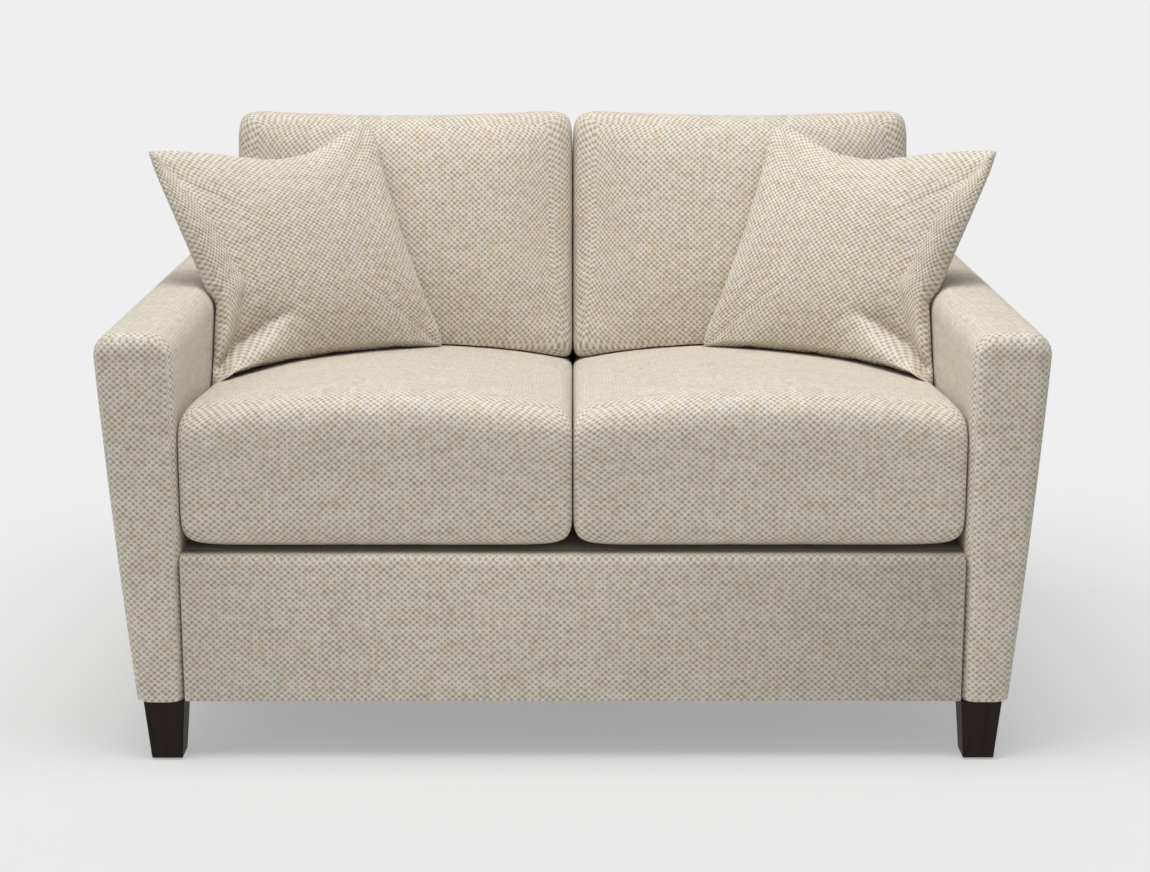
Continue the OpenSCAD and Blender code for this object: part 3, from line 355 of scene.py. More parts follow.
def plated_steel(name):
    finish = Finish(name)
    place = finish.node("TexCoord").outputs["Object"]
    streaks = finish.noise(finish.stretched(place, (900, 120, 900)), 1.0, 3.0)
    tint = finish.mix(streaks, (0.42, 0.43, 0.45), (0.60, 0.61, 0.63))
    return finish.surface(tint, finish.bump(streaks, 0.03 * MM, 0.5), Roughness=0.34, Metallic=1.0)


def moulded_nylon(name, colour):
    finish = Finish(name)
    place = finish.node("TexCoord").outputs["Object"]
    skin = finish.noise(place, 900.0, 2.0)
    cloud = finish.noise(place, 40.0, 2.0)
    dark = tuple(channel * 0.9 for channel in colour)
    tint = finish.mix(cloud, dark, colour)
    return finish.surface(tint, finish.bump(skin, 0.05 * MM, 0.4), Roughness=0.5)


FLOOR_BOUNCE = 0.78
FLOOR_SHADE_SHARE = 0.42
FLOOR_REACH = 40


def studio_floor(name):
    """A pale floor that keeps the settee's shadow and is about as light as the backdrop elsewhere."""
    finish = Finish(name)
    side = SIDE_LIGHT_STRENGTH * Vector(SIDE_LIGHT_FROM).normalized().z / pi
    place = finish.node("TexCoord").outputs["Object"]
    apart = finish.node("SeparateXYZ", Vector=place)
    deep = finish.maths("ADD", apart.outputs["Y"], SOFTBOX_FORWARD)
    reach = finish.maths("MULTIPLY_ADD", apart.outputs["X"], apart.outputs["X"],
                         finish.maths("MULTIPLY", deep, deep))
    spread = finish.maths("POWER", finish.maths("ADD", reach, SOFTBOX_HEIGHT ** 2), 2.0)
    lamp = finish.maths("DIVIDE", SOFTBOX_POWER * SOFTBOX_HEIGHT ** 2 / pi ** 2, spread)
    lit = finish.maths("ADD", lamp, AMBIENT + side)
    glow = finish.maths("MULTIPLY_ADD", lit, -FLOOR_SHADE_SHARE, BACKDROP_LEVEL)
    seen = finish.node("AddShader")
    paint = finish.node("BsdfDiffuse", Color=(FLOOR_SHADE_SHARE,) * 3)
    light = finish.node("Emission", Strength=glow)
    finish.tree.links.new(paint.outputs[0], seen.inputs[0])
    finish.tree.links.new(light.outputs[0], seen.inputs[1])
    bounced = finish.node("BsdfDiffuse", Color=(FLOOR_BOUNCE,) * 3)
    path = finish.node("LightPath")
    looked_at = finish.maths("MAXIMUM", path.outputs["Is Camera Ray"], path.outputs["Is Glossy Ray"])
    either = finish.node("MixShader", Fac=looked_at)
    finish.tree.links.new(bounced.outputs[0], either.inputs[1])
    finish.tree.links.new(seen.outputs[0], either.inputs[2])
    finish.tree.links.new(either.outputs[0], finish.tree.nodes["Material Output"].inputs["Surface"])
    return finish.material


PINE_LIGHT = (0.62, 0.45, 0.26)
PINE_DARK = (0.44, 0.29, 0.15)
WEAVE = basket_weave("oatmeal_basket_weave")
DECK_CLOTH = plain_cloth("oatmeal_deck_lining", (0.60, 0.565, 0.49), 1.2 * MM, 0.03)
BLACK_CLOTH = plain_cloth("black_felt_cloth", (0.022, 0.022, 0.024), 0.9 * MM, 0.2)
WEB_CLOTH = plain_cloth("black_jute_web", (0.05, 0.048, 0.045), 2.5 * MM, 0.2)
ZIP_TAPE = plain_cloth("zip_tape", (0.52, 0.48, 0.40), 0.8 * MM)
FOAM = open_foam("cream_foam", (0.80, 0.70, 0.46), 420.0)
FIBRE = open_foam("white_fibre", (0.82, 0.82, 0.80), 160.0)
ESPRESSO = timber("espresso_stain", (0.020, 0.009, 0.006), (0.008, 0.004, 0.003), (90, 90, 5), 0.45,
                  gloss=0.15)
PINE_UP = timber("pine_upright", PINE_LIGHT, PINE_DARK, (45, 45, 3), 0.7)
PINE_ACROSS = timber("pine_across", PINE_LIGHT, PINE_DARK, (3, 45, 45), 0.7)
PLYWOOD = timber("plywood_deep", (0.66, 0.50, 0.31), (0.50, 0.35, 0.19), (45, 3, 45), 0.7)
STEEL = plated_steel("zinc_plated_steel")
NYLON = moulded_nylon("cream_nylon", (0.62, 0.58, 0.50))

CAD_FINISHES = {
    PINE_ACROSS: ["front_rail", "back_rail", "back_top_rail", "back_lower_rails"],
    PINE_UP: ["back_posts", "arm_front_panel_left", "arm_front_panel_right",
              "arm_rear_panel_left", "arm_rear_panel_right"],
    PLYWOOD: ["base_side_rail_left", "base_side_rail_right", "arm_top_rail_left",
              "arm_top_rail_right", "arm_bottom_board_left", "arm_bottom_board_right",
              "arm_inner_rail_left", "arm_inner_rail_right"],
    STEEL: ["hanger_bolts", "tee_nuts", "seat_springs", "arm_bolts",
            "seat_zip_slider_left", "seat_zip_slider_right",
            "back_zip_slider_left", "back_zip_slider_right"],
    NYLON: ["leg_glides", "spring_clips"],
    WEB_CLOTH: ["back_webbing"],
    FIBRE: ["deck_pad", "back_cushion_fill_left", "back_cushion_fill_right"],
    FOAM: ["front_rail_pad", "arm_padding_left", "arm_padding_right", "back_padding",
           "seat_cushion_core_left", "seat_cushion_core_right"],
}


def finish_cad_nodes():
    for material, nodes in CAD_FINISHES.items():
        for node in nodes:
            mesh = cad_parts[node].data
            mesh.materials.clear()
            mesh.materials.append(material)


# Making pieces


def finished(bm, name, material, smooth=True):
    """Turns a bmesh into an object with its place in its mesh."""
    mesh = bpy.data.meshes.new(name)
    bm.to_mesh(mesh)
    bm.free()
    for polygon in mesh.polygons:
        polygon.use_smooth = smooth
    mesh.materials.append(material)
    piece = bpy.data.objects.new(name, mesh)
    bpy.context.collection.objects.link(piece)
    return piece


def mirrored(piece, name):
    """A copy of a right piece for the left side, with its faces still outwards."""
    bm = bmesh.new()
    bm.from_mesh(piece.data)
    bmesh.ops.scale(bm, vec=(-1, 1, 1), verts=bm.verts)
    bmesh.ops.reverse_faces(bm, faces=bm.faces)
    return finished(bm, name, piece.data.materials[0])


def dress(piece, body, slot, *nodes):
    """Joins a piece to its body and hides the CAD nodes that it stands for; slot is not used."""
    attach(piece, body)
    if nodes:
        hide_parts(*nodes)
    return piece


def add_block(bm, low, high):
    """Adds a block to a mesh and returns its points."""
    verts = bmesh.ops.create_cube(bm, size=1)["verts"]
    low, high = Vector(low), Vector(high)
    bmesh.ops.scale(bm, vec=high - low, verts=verts)
    bmesh.ops.translate(bm, vec=(low + high) / 2, verts=verts)
    return verts


def box_mesh(low, high):
    bm = bmesh.new()
    add_block(bm, low, high)
    return bm


def bevel(bm, edges, radius, segments=5):
    bmesh.ops.bevel(bm, geom=edges, offset=radius, offset_type="OFFSET", segments=segments,
                    profile=0.5, affect="EDGES", material=-1, clamp_overlap=True)


def edges_where(bm, wanted):
    """The edges for which wanted(middle, direction) is true."""
    found = []
    for edge in bm.edges:
        start, end = (vert.co for vert in edge.verts)
        if wanted((start + end) / 2, (end - start).normalized()):
            found.append(edge)
    return found


def cut_in_slices(bm, axis, low, high, slices):
    """Cuts a mesh across an axis at even steps from low to high."""
    way = Vector()
    way[axis] = 1
    for number in range(1, slices):
        place = Vector()
        place[axis] = low + (high - low) * number / slices
        bmesh.ops.bisect_plane(bm, geom=bm.verts[:] + bm.edges[:] + bm.faces[:],
                               plane_co=place, plane_no=way)


def lay_weave_by_panels(bm):
    """A UV map in metres that follows each panel's own plane."""
    layer = bm.loops.layers.uv.new("weave")
    bm.normal_update()
    for face in bm.faces:
        normal = face.normal
        sideways, facing, level = abs(normal.x), abs(normal.y), abs(normal.z)
        for loop in face.loops:
            place = loop.vert.co
            if sideways > max(facing, level):
                loop[layer].uv = (place.y, place.z)
            elif facing > level:
                loop[layer].uv = (place.x, place.z)
            else:
                loop[layer].uv = (place.x, place.y)


# Arms

ARM_BOW_SHARES = [0.2, 0.4, 0.6, 0.8]
ARM_SLICES_DEEP = 24
ARM_SLICES_HIGH = 16


def arm_cover():
    """The end outline of the right arm, extruded to its depth, with every edge rounded."""
    bm = bmesh.new()
    foot_x = PLACE_WIDTH + ARM_FOOT_WIDTH
    top_x = PLACE_WIDTH + ARM_TOP_WIDTH
    corners = [(PLACE_WIDTH, LEG_HEIGHT), (foot_x, LEG_HEIGHT)]
    for share in ARM_BOW_SHARES:
        bow = ARM_BOW * 4 * share * (1 - share)
        corners.append((foot_x + (top_x - foot_x) * share + bow,
                        LEG_HEIGHT + (ARM_HEIGHT - LEG_HEIGHT) * share))
    corners += [(top_x, ARM_HEIGHT), (PLACE_WIDTH, ARM_HEIGHT)]
    outline = bm.faces.new([bm.verts.new((x, FRONT_Y, z)) for x, z in corners])
    grown = bmesh.ops.extrude_face_region(bm, geom=[outline])["geom"]
    bmesh.ops.translate(bm, vec=(0, REAR_Y - FRONT_Y, 0),
                        verts=[part for part in grown if isinstance(part, bmesh.types.BMVert)])
    bmesh.ops.recalc_face_normals(bm, faces=bm.faces)
    bevel(bm, edges_where(bm, lambda middle, way: abs(way.y) > 0.9 and middle.z > ARM_HEIGHT - MM),
          ARM_TOP_ROUND, 7)
    bevel(bm, edges_where(bm, lambda middle, way: middle.y < FRONT_Y + MM and abs(way.y) < 0.1
                          and middle.z > LEG_HEIGHT + MM), ARM_FRONT_ROUND, 6)
    bevel(bm, edges_where(bm, lambda middle, way: middle.y > REAR_Y - MM and abs(way.y) < 0.1
                          and middle.z > LEG_HEIGHT + MM), ARM_REAR_ROUND, 4)
    bevel(bm, edges_where(bm, lambda middle, way: middle.z < LEG_HEIGHT + HAIR), ARM_FOOT_ROUND, 3)
    cut_in_slices(bm, 1, FRONT_Y, REAR_Y, ARM_SLICES_DEEP)
    cut_in_slices(bm, 2, LEG_HEIGHT, ARM_HEIGHT, ARM_SLICES_HIGH)
    lay_weave_by_panels(bm)
    return finished(bm, "arm_cover_right_piece", WEAVE)


# Front rail, deck and back


def front_rail_cover():
    bm = box_mesh(RAIL_LOW, RAIL_HIGH)
    front = RAIL_LOW.y + MM
    bevel(bm, edges_where(bm, lambda middle, way: middle.y < front and middle.z > DECK_Z - MM),
          RAIL_ROUND, 5)
    bevel(bm, edges_where(bm, lambda middle, way: middle.y < front and middle.z < LEG_HEIGHT + MM
                          and abs(way.x) > 0.9), RAIL_FOOT_ROUND, 3)
    lay_weave_by_panels(bm)
    return finished(bm, "front_rail_cover_piece", WEAVE)


def flat_cover(node, material):
    """A cloth stretched flat, as thick as its CAD node."""
    return finished(box_mesh(*corners_of(node)), node + "_piece", material, smooth=False)


def inside_back_cover():
    """A block with a leaning front, rounded along its top and sides."""
    bm = box_mesh(BACK_LOW, BACK_HIGH)
    for vert in bm.verts:
        if vert.co.y < (BACK_LOW.y + BACK_HIGH.y) / 2:
            vert.co.y = BACK_LOW.y + (vert.co.z - BACK_LOW.z) * tan(BACK_LEAN)
    rear = BACK_HIGH.y - MM
    bevel(bm, edges_where(bm, lambda middle, way: middle.z > BACK_HIGH.z - MM and middle.y < rear
                          or abs(middle.x) > PLACE_WIDTH - MM and middle.y < rear and way.z ** 2 > 0.5),
          BACK_ROUND, 5)
    lay_weave_by_panels(bm)
    return finished(bm, "inside_back_cover_piece", WEAVE)


def outside_back_cover():
    low, high = corners_of("outside_back_cover")
    bm = box_mesh(low, high)
    bevel(bm, edges_where(bm, lambda middle, way: abs(way.y) > 0.9 and middle.z > high.z - MM),
          BACK_ROUND, 5)
    lay_weave_by_panels(bm)
    return finished(bm, "outside_back_cover_piece", WEAVE)


LEG_FOOT = 47 * MM
LEG_TOE_IN = 2.5 * MM
LEG_RAKE = 3 * MM
LEG_EDGE_ROUND = 1.8 * MM
LEG_FOOT_ROUND = 1.2 * MM


def leg(name, node):
    """A square leg that tapers to its foot, with its edges eased."""
    low, high = corners_of(node)
    bm = box_mesh(low, high)
    leg_top = high.x - low.x
    side = 1 if low.x > 0 else -1
    end = 1 if low.y > 0 else -1
    top_x = (low.x + high.x) / 2
    outer_y = low.y if end < 0 else high.y
    top_y = outer_y - end * (LEG_RAKE + leg_top / 2)
    foot_x = top_x - side * LEG_TOE_IN
    foot_y = outer_y - end * LEG_FOOT / 2
    for vert in bm.verts:
        is_top = vert.co.z > (low.z + high.z) / 2
        half = (leg_top if is_top else LEG_FOOT) / 2
        middle_x, middle_y = (top_x, top_y) if is_top else (foot_x, foot_y)
        vert.co.x = middle_x + (half if vert.co.x > top_x else -half)
        vert.co.y = middle_y + (half if vert.co.y > (low.y + high.y) / 2 else -half)
    bevel(bm, edges_where(bm, lambda middle, way: abs(way.z) > 0.5), LEG_EDGE_ROUND, 3)
    bevel(bm, edges_where(bm, lambda middle, way: middle.z < low.z + HAIR), LEG_FOOT_ROUND, 2)
    return finished(bm, name, ESPRESSO, smooth=False)


# Cushion forms: a cube's surface is drawn out to a soft round-cornered block


def cube_grid(cells):
    """A cube from -1 to 1 whose sides are cut into cells along x, y and z."""
    bm = bmesh.new()
    bmesh.ops.create_cube(bm, size=2)
    for axis, count in enumerate(cells):
        edges = edges_where(bm, lambda middle, way: abs(way[axis]) > 0.9)
        bmesh.ops.subdivide_edges(bm, edges=edges, cuts=count - 1, use_grid_fill=True)
    return bm


def arc_lengths(form, start, end, steps=120):
    """Distances along the form between two points of the cube, as a function of a share."""
    places = [form(start.lerp(end, step / steps)) for step in range(steps + 1)]
    total = [0.0]
    for before, after in zip(places, places[1:]):
        total.append(total[-1] + (after - before).length)

    def at(share):
        whole = min(int(share * steps), steps - 1)
        return total[whole] + (total[whole + 1] - total[whole]) * (share * steps - whole)
    return at


def shape_cushion(bm, form):
    """Moves the cube's points to the form and lays the weave along it."""
    across = arc_lengths(form, Vector((-1, 0, 1)), Vector((1, 0, 1)))
    deep = arc_lengths(form, Vector((0, -1, 1)), Vector((0, 1, 1)))
    upright = arc_lengths(form, Vector((0, -1, -1)), Vector((0, -1, 1)))
    layer = bm.loops.layers.uv.new("weave")
    for face in bm.faces:
        centre = face.calc_center_median()
        axis = max(range(3), key=lambda i: abs(centre[i]))
        for loop in face.loops:
            x, y, z = ((value + 1) / 2 for value in loop.vert.co)
            if axis == 0:
                loop[layer].uv = (deep(y), upright(z))
            elif axis == 1:
                loop[layer].uv = (across(x), upright(z) - upright(1))
            else:
                loop[layer].uv = (across(x), deep(y))
    for vert in bm.verts:
        vert.co = form(vert.co)
    bmesh.ops.recalc_face_normals(bm, faces=bm.faces)


def gauge(x, y, power):
    """How far out a point lies in a round-cornered square: 0 in the middle, 1 on the edge."""
    return (abs(x) ** power + abs(y) ** power) ** (1 / power)


def fall(share, power):
    """How a cushion's thickness falls off from its middle, 1, to its widest line, 0."""
    return 0.0 if share >= 1 else (1 - share ** power) ** (1 / power)


SEAT_LOWER = 100 * MM
SEAT_EDGE = 96 * MM
SEAT_CROWN = 26 * MM
SEAT_SLOPE = 30 * MM
SEAT_DRAW_IN = 3 * MM
SEAT_SQUARE_POWER = 60
SEAT_TOP_POWER = 8
SEAT_SIDE_FIRMNESS = 7
SEAT_BASE_POWER = 7
SEAT_BASE_FIRMNESS = 2
SEAT_EDGE_POWER = 8
SEAT_STAND_SHARE = 0.9
SEAT_CENTRE = Vector(((SEAT_LOW.x + SEAT_HIGH.x) / 2, (SEAT_LOW.y + SEAT_HIGH.y) / 2,
                      SEAT_LOW.z + SEAT_LOWER))
SEAT_HALF_WIDTH = (SEAT_HIGH.x - SEAT_LOW.x) / 2
SEAT_HALF_DEPTH = (SEAT_HIGH.y - SEAT_LOW.y) / 2
ZIP_STAND = 3 * MM


def seat_rise(x, y):
    return SEAT_EDGE + SEAT_CROWN * (1 - x * x) - SEAT_SLOPE * y


def seat_firmness(x, y):
    """The top's edges are squarer along the sides than along the front."""
    sideways, endways = (min(1, abs(value)) ** SEAT_EDGE_POWER for value in (x, y))
    return SEAT_TOP_POWER + SEAT_SIDE_FIRMNESS * sideways * (1 - endways)


def seat_base_power(x, y):
    """The underside's edges are squarer along the front and rear than along the sides."""
    sideways, endways = (min(1, abs(value)) ** SEAT_EDGE_POWER for value in (x, y))
    return SEAT_BASE_POWER + SEAT_BASE_FIRMNESS * endways * (1 - sideways)


def seat_top(x, y):
    """Height of the right seat cushion's top at a place."""
    share_x = (x - SEAT_CENTRE.x) / SEAT_HALF_WIDTH
    share_y = (y - SEAT_CENTRE.y) / SEAT_HALF_DEPTH
    share = gauge(share_x, share_y, SEAT_SQUARE_POWER)
    return SEAT_CENTRE.z + seat_rise(share_x, share_y) * fall(share, seat_firmness(share_x, share_y))


def seat_bearing(x, y):
    """Height that what stands on the right seat cushion keeps above, also past its rear edge."""
    share_x = (x - SEAT_CENTRE.x) / SEAT_HALF_WIDTH
    share_y = (y - SEAT_CENTRE.y) / SEAT_HALF_DEPTH
    return SEAT_CENTRE.z + seat_rise(share_x, share_y) * fall(abs(share_x), seat_firmness(share_x, 0))


def seat_form(cube):
    """Draws a point of the cube out to the right seat cushion."""
    power = seat_firmness(cube.x, cube.y) if cube.z > 0 else seat_base_power(cube.x, cube.y)
    reach = gauge(gauge(cube.x, cube.y, SEAT_SQUARE_POWER), cube.z, power)
    x, y, z = cube / reach
    draw_in = SEAT_DRAW_IN * (1 - x * x) * y * y if y < 0 else 0
    rise = seat_rise(x, y) if z > 0 else SEAT_LOWER
    place = Vector((SEAT_CENTRE.x + SEAT_HALF_WIDTH * x,
                    SEAT_CENTRE.y + SEAT_HALF_DEPTH * y + draw_in,
                    SEAT_CENTRE.z + rise * z))
    place.y = min(place.y, SEAT_HIGH.y - ZIP_STAND)
    return place


# Back cushions, drawn in a frame that leans with the inside back

BACK_CUSHION_HEIGHT = 440 * MM
BACK_CUSHION_REAR = 88 * MM
BACK_CUSHION_FRONT = 88 * MM
BACK_CUSHION_CROWN = 20 * MM
BACK_CUSHION_DIP = 11 * MM
BACK_SQUARE_POWER = 16
BACK_LOWER_SQUARE_POWER = 30
BACK_FRONT_POWER = 5
BACK_LOWER_FIRMNESS = 5
BACK_REAR_POWER = 8
BACK_HALF_WIDTH = PLACE_WIDTH / 2 - REST_GAP
BACK_HALF_HEIGHT = BACK_CUSHION_HEIGHT / 2
BACK_MIDDLE_W = REST_GAP + BACK_CUSHION_REAR
PRESS_GAP = 6 * REST_GAP
SEAT_REAR_RISE = (SEAT_EDGE - SEAT_SLOPE) * fall(SEAT_STAND_SHARE, SEAT_TOP_POWER)
SEAT_REAR_TOP = SEAT_CENTRE.z - DECK_Z + SEAT_REAR_RISE
BACK_CENTRE_T = (SEAT_REAR_TOP - BACK_MIDDLE_W * sin(BACK_LEAN)) / cos(BACK_LEAN) + BACK_HALF_HEIGHT


def from_lean(x, t, w):
    """A place from x across, t up the lean and w out from the inside back."""
    return Vector((x, BACK_Y + t * sin(BACK_LEAN) - w * cos(BACK_LEAN),
                   DECK_Z + t * cos(BACK_LEAN) + w * sin(BACK_LEAN)))


def to_lean(place):
    """The t and w of a place."""
    y, z = place.y - BACK_Y, place.z - DECK_Z
    return y * sin(BACK_LEAN) + z * cos(BACK_LEAN), z * sin(BACK_LEAN) - y * cos(BACK_LEAN)


def back_swell(x, y):
    return BACK_CUSHION_FRONT + BACK_CUSHION_CROWN * (1 - x * x) * (1 - y * y)


def back_square(y):
    return BACK_LOWER_SQUARE_POWER if y < 0 else BACK_SQUARE_POWER


def back_softness(y):
    return BACK_FRONT_POWER + (BACK_LOWER_FIRMNESS * y * y if y < 0 else 0)


def back_front_w(x, t):
    """How far the right back cushion's front stands out from the inside back."""
    share_x = (x - SEAT_CENTRE.x) / BACK_HALF_WIDTH
    share_t = (t - BACK_CENTRE_T) / BACK_HALF_HEIGHT
    share = gauge(share_x, share_t, back_square(share_t))
    swell = back_swell(min(abs(share_x), 1), min(abs(share_t), 1))
    return BACK_MIDDLE_W + swell * fall(share, back_softness(share_t))


def back_form(cube):
    """Draws a point of the cube out to the right back cushion; the cube's -y is its front."""
    power = back_softness(cube.z) if cube.y < 0 else BACK_REAR_POWER
    reach = gauge(gauge(cube.x, cube.z, back_square(cube.z)), cube.y, power)
    x, y, z = cube / reach
    dip = BACK_CUSHION_DIP * (1 - x * x) * z * z if z > 0 else 0
    thickness = -y * (back_swell(x, z) if y < 0 else BACK_CUSHION_REAR)
    w = max(BACK_MIDDLE_W + thickness, REST_GAP + ZIP_STAND)
    place = from_lean(SEAT_CENTRE.x + BACK_HALF_WIDTH * x,
                      BACK_CENTRE_T + BACK_HALF_HEIGHT * z - dip, w)
    place.z = max(place.z, seat_bearing(place.x, place.y) + PRESS_GAP)
    return place


# Throw pillows: a middle surface, bent round what it leans on, with a swell on both sides

PILLOW_HALF = 449 * MM / 2
PILLOW_SPREAD = 12 * MM
PILLOW_INNER_EDGE = 448 * MM
PILLOW_OUTER_EDGE = 426 * MM
PILLOW_THICKNESS = 140 * MM
PILLOW_DRAW_IN = 18 * MM
PILLOW_OUTER_DRAW_SHARE = 0.35
PILLOW_DIP = 42 * MM
PILLOW_DIP_SHARE = -0.24
PILLOW_DIP_SPREAD_SHARE = 0.60
PILLOW_CORNER_CUT = 24 * MM
PILLOW_CORNER_POWER = 40
PILLOW_STAND_SHARE = -0.2
PILLOW_TIP_SHARE = 0.955
PILLOW_FULLNESS = 0.5
PILLOW_OUTER_SLACKNESS = 0.35
PILLOW_CORNER_FILL = 0.26
PILLOW_EAR_FILL = 0.8
PILLOW_EAR_POWER = 6
PILLOW_FLOP = 64 * MM
PILLOW_TURN = radians(30)
PILLOW_LEAN = radians(18)
PILLOW_LOWER_SLOPE = radians(4)
PILLOW_SIDE_TILT = radians(12)
PILLOW_CORNER_GAP = 3 * MM
PILLOW_SINK = 19 * MM
PILLOW_STAND_OFF = 12 * MM
PILLOW_PRESS_GAP = 5 * REST_GAP
PILLOW_NORMAL = Vector((-sin(PILLOW_TURN) * cos(PILLOW_LEAN), -cos(PILLOW_TURN) * cos(PILLOW_LEAN),
                        sin(PILLOW_LEAN)))
PILLOW_OUT = Vector((cos(PILLOW_TURN), -sin(PILLOW_TURN), 0))
PILLOW_UP = Vector((sin(PILLOW_LEAN) * sin(PILLOW_TURN), sin(PILLOW_LEAN) * cos(PILLOW_TURN),
                    cos(PILLOW_LEAN)))
PILLOW_ACROSS = PILLOW_OUT * cos(PILLOW_LOWER_SLOPE) - PILLOW_UP * sin(PILLOW_LOWER_SLOPE)
PILLOW_SIDE = PILLOW_UP * cos(PILLOW_SIDE_TILT) + PILLOW_OUT * sin(PILLOW_SIDE_TILT)


def pillow_centre():
    """The lower outer corner rests on the seat by the arm, the upper inner one on the back."""
    outer = (PILLOW_ACROSS * PILLOW_HALF - PILLOW_SIDE * PILLOW_OUTER_EDGE / 2) * PILLOW_TIP_SHARE
    inner = (PILLOW_SIDE * PILLOW_INNER_EDGE / 2 - PILLOW_ACROSS * PILLOW_HALF) * PILLOW_TIP_SHARE
    rise = SEAT_EDGE - SEAT_SLOPE * PILLOW_STAND_SHARE
    stand = SEAT_CENTRE.z + rise * fall(SEAT_STAND_SHARE, SEAT_TOP_POWER)
    x = PLACE_WIDTH - PILLOW_CORNER_GAP - outer.x
    z = stand - PILLOW_SINK - outer.z
    swell = BACK_MIDDLE_W + BACK_CUSHION_FRONT + BACK_CUSHION_CROWN + PILLOW_STAND_OFF
    y = BACK_Y + (z + inner.z - DECK_Z) * tan(BACK_LEAN) - swell / cos(BACK_LEAN) - inner.y
    return Vector((x, y, z))


PILLOW_CENTRE = pillow_centre()
PILLOW_FLARE = 0.42
PILLOW_FLARE_START = ARM_HEIGHT - 41 * MM


def arm_limit(z):
    """How far out a pillow may reach at a height: to the right arm, and over its rounded edge."""
    rise = min(max(0.0, z - ARM_HEIGHT + ARM_TOP_ROUND), ARM_TOP_ROUND)
    round_in = ARM_TOP_ROUND - sqrt(ARM_TOP_ROUND ** 2 - rise ** 2)
    line = PILLOW_FLARE * max(0.0, z - PILLOW_FLARE_START)
    return PLACE_WIDTH + (min(round_in, line) if z < ARM_HEIGHT else line)


def press(middle, swell):
    """Moves a middle point off the back cushion, up off the seat and in off the arm."""
    reach = PILLOW_NORMAL * swell

    def faces(place):
        return place - reach, place + reach

    push = 0.0
    for face in faces(middle):
        t, w = to_lean(face)
        push = max(push, back_front_w(face.x, t) + PILLOW_PRESS_GAP - w)
    middle = middle + push * Vector((0, -cos(BACK_LEAN), sin(BACK_LEAN)))
    push = max(0.0, *(seat_top(face.x, face.y) + PILLOW_PRESS_GAP - face.z
                      for face in faces(middle)))
    middle = middle + Vector((0, 0, push))
    push = max(0.0, *(face.x + PILLOW_PRESS_GAP - arm_limit(face.z) for face in faces(middle)))
    return middle - Vector((push, 0, 0))


FOLD_START = Vector((1.05, -0.84))
FOLD_END = Vector((0.50, -0.60))
CREASE_DEPTH = 36 * MM
CREASE_UPPER_WIDTH = 26 * MM
CREASE_LOWER_WIDTH = 8 * MM
ROLL_HEIGHT = 32 * MM
ROLL_WIDTH = 28 * MM
FOLD_FADE_END = 1.5
FOLD_FULL_SWELL = 6 * MM
CREASE_PINCH_SHARE = 0.3
PILLOW_SEAM_MERGE = 0.05 * MM


def fold(x, y):
    """Height of the fold at the lower outer corner: a crease with a roll below it."""
    way = FOLD_END - FOLD_START
    from_start = Vector((x, y)) - FOLD_START
    along = from_start.dot(way) / way.length_squared
    below = (way.x * from_start.y - way.y * from_start.x) / way.length * PILLOW_HALF
    fade = max(0.0, min(1.0, FOLD_FADE_END - along))
    if below > 0:
        height = ROLL_HEIGHT * below / ROLL_WIDTH * exp(1 - below / ROLL_WIDTH)
        height -= CREASE_DEPTH * exp(-below / CREASE_LOWER_WIDTH)
    else:
        height = -CREASE_DEPTH * exp(below / CREASE_UPPER_WIDTH)
    return height * fade * fade * (3 - 2 * fade)


def blunt(x, y):
    """Blunts the corners of the pillow's square."""
    edge = max(abs(x), abs(y))
    corner = (abs(x) + abs(y)) / (2 - PILLOW_CORNER_CUT / PILLOW_HALF)
    reach = gauge(gauge(x, y, PILLOW_CORNER_POWER), corner, PILLOW_CORNER_POWER)
    keep = 1 + (edge / reach - 1) * edge if edge > 0 else 1
    return x * keep, y * keep


def pillow_fullness(x, y):
    """Slack along the upper outer edge, full towards the lower one and in the upper outer corner.

    A higher power is slacker.
    """
    outward = max(0.0, x) ** 2
    slack = PILLOW_OUTER_SLACKNESS * (1 + y) / 2 - PILLOW_CORNER_FILL * (1 - y) / 2
    ear = (max(0.0, x) * max(0.0, y)) ** PILLOW_EAR_POWER
    return PILLOW_FULLNESS + outward * slack - PILLOW_EAR_FILL * ear


def pillow_form(x, y, side, share=1):
    """A point of the right pillow.

    side is 1 on its front and -1 on its rear, and a share below 1 gives a point inside it.
    """
    rim = max(0.0, (1 - x * x) * (1 - y * y))
    x, y = x * share, y * share
    plan_x, plan_y = blunt(x, y)
    draw = PILLOW_DRAW_IN / PILLOW_HALF
    side_draw = draw * (PILLOW_OUTER_DRAW_SHARE if x > 0 else 1)
    growth = (PILLOW_OUTER_EDGE - PILLOW_INNER_EDGE) * x
    half_height = (PILLOW_INNER_EDGE + PILLOW_OUTER_EDGE + growth) / 4
    across = plan_x * (PILLOW_HALF + PILLOW_SPREAD / 2 * y) * (1 - side_draw * (1 - y * y))
    dip = PILLOW_DIP * exp(-((x - PILLOW_DIP_SHARE) / PILLOW_DIP_SPREAD_SHARE) ** 2)
    up = plan_y * half_height * (1 - draw * (1 - x * x)) - dip * max(0.0, y) ** 2
    flop = PILLOW_FLOP * max(0.0, x - y - 1) ** 2
    thick = max(0.0, (1 - x * x) * (1 - y * y))
    swell = PILLOW_THICKNESS / 2 * thick ** pillow_fullness(x, y)
    middle = PILLOW_CENTRE + PILLOW_ACROSS * across + PILLOW_SIDE * up
    middle = middle + Vector((0, -flop, 0))
    middle = press(press(middle, swell), swell)
    if side > 0:
        folded = swell + fold(x, y) * min(1.0, swell / FOLD_FULL_SWELL)
        swell = max(-CREASE_PINCH_SHARE * swell, folded)
    if share < 1:
        swell *= share * (rim / thick) ** PILLOW_FULLNESS
    return middle + PILLOW_NORMAL * swell * side


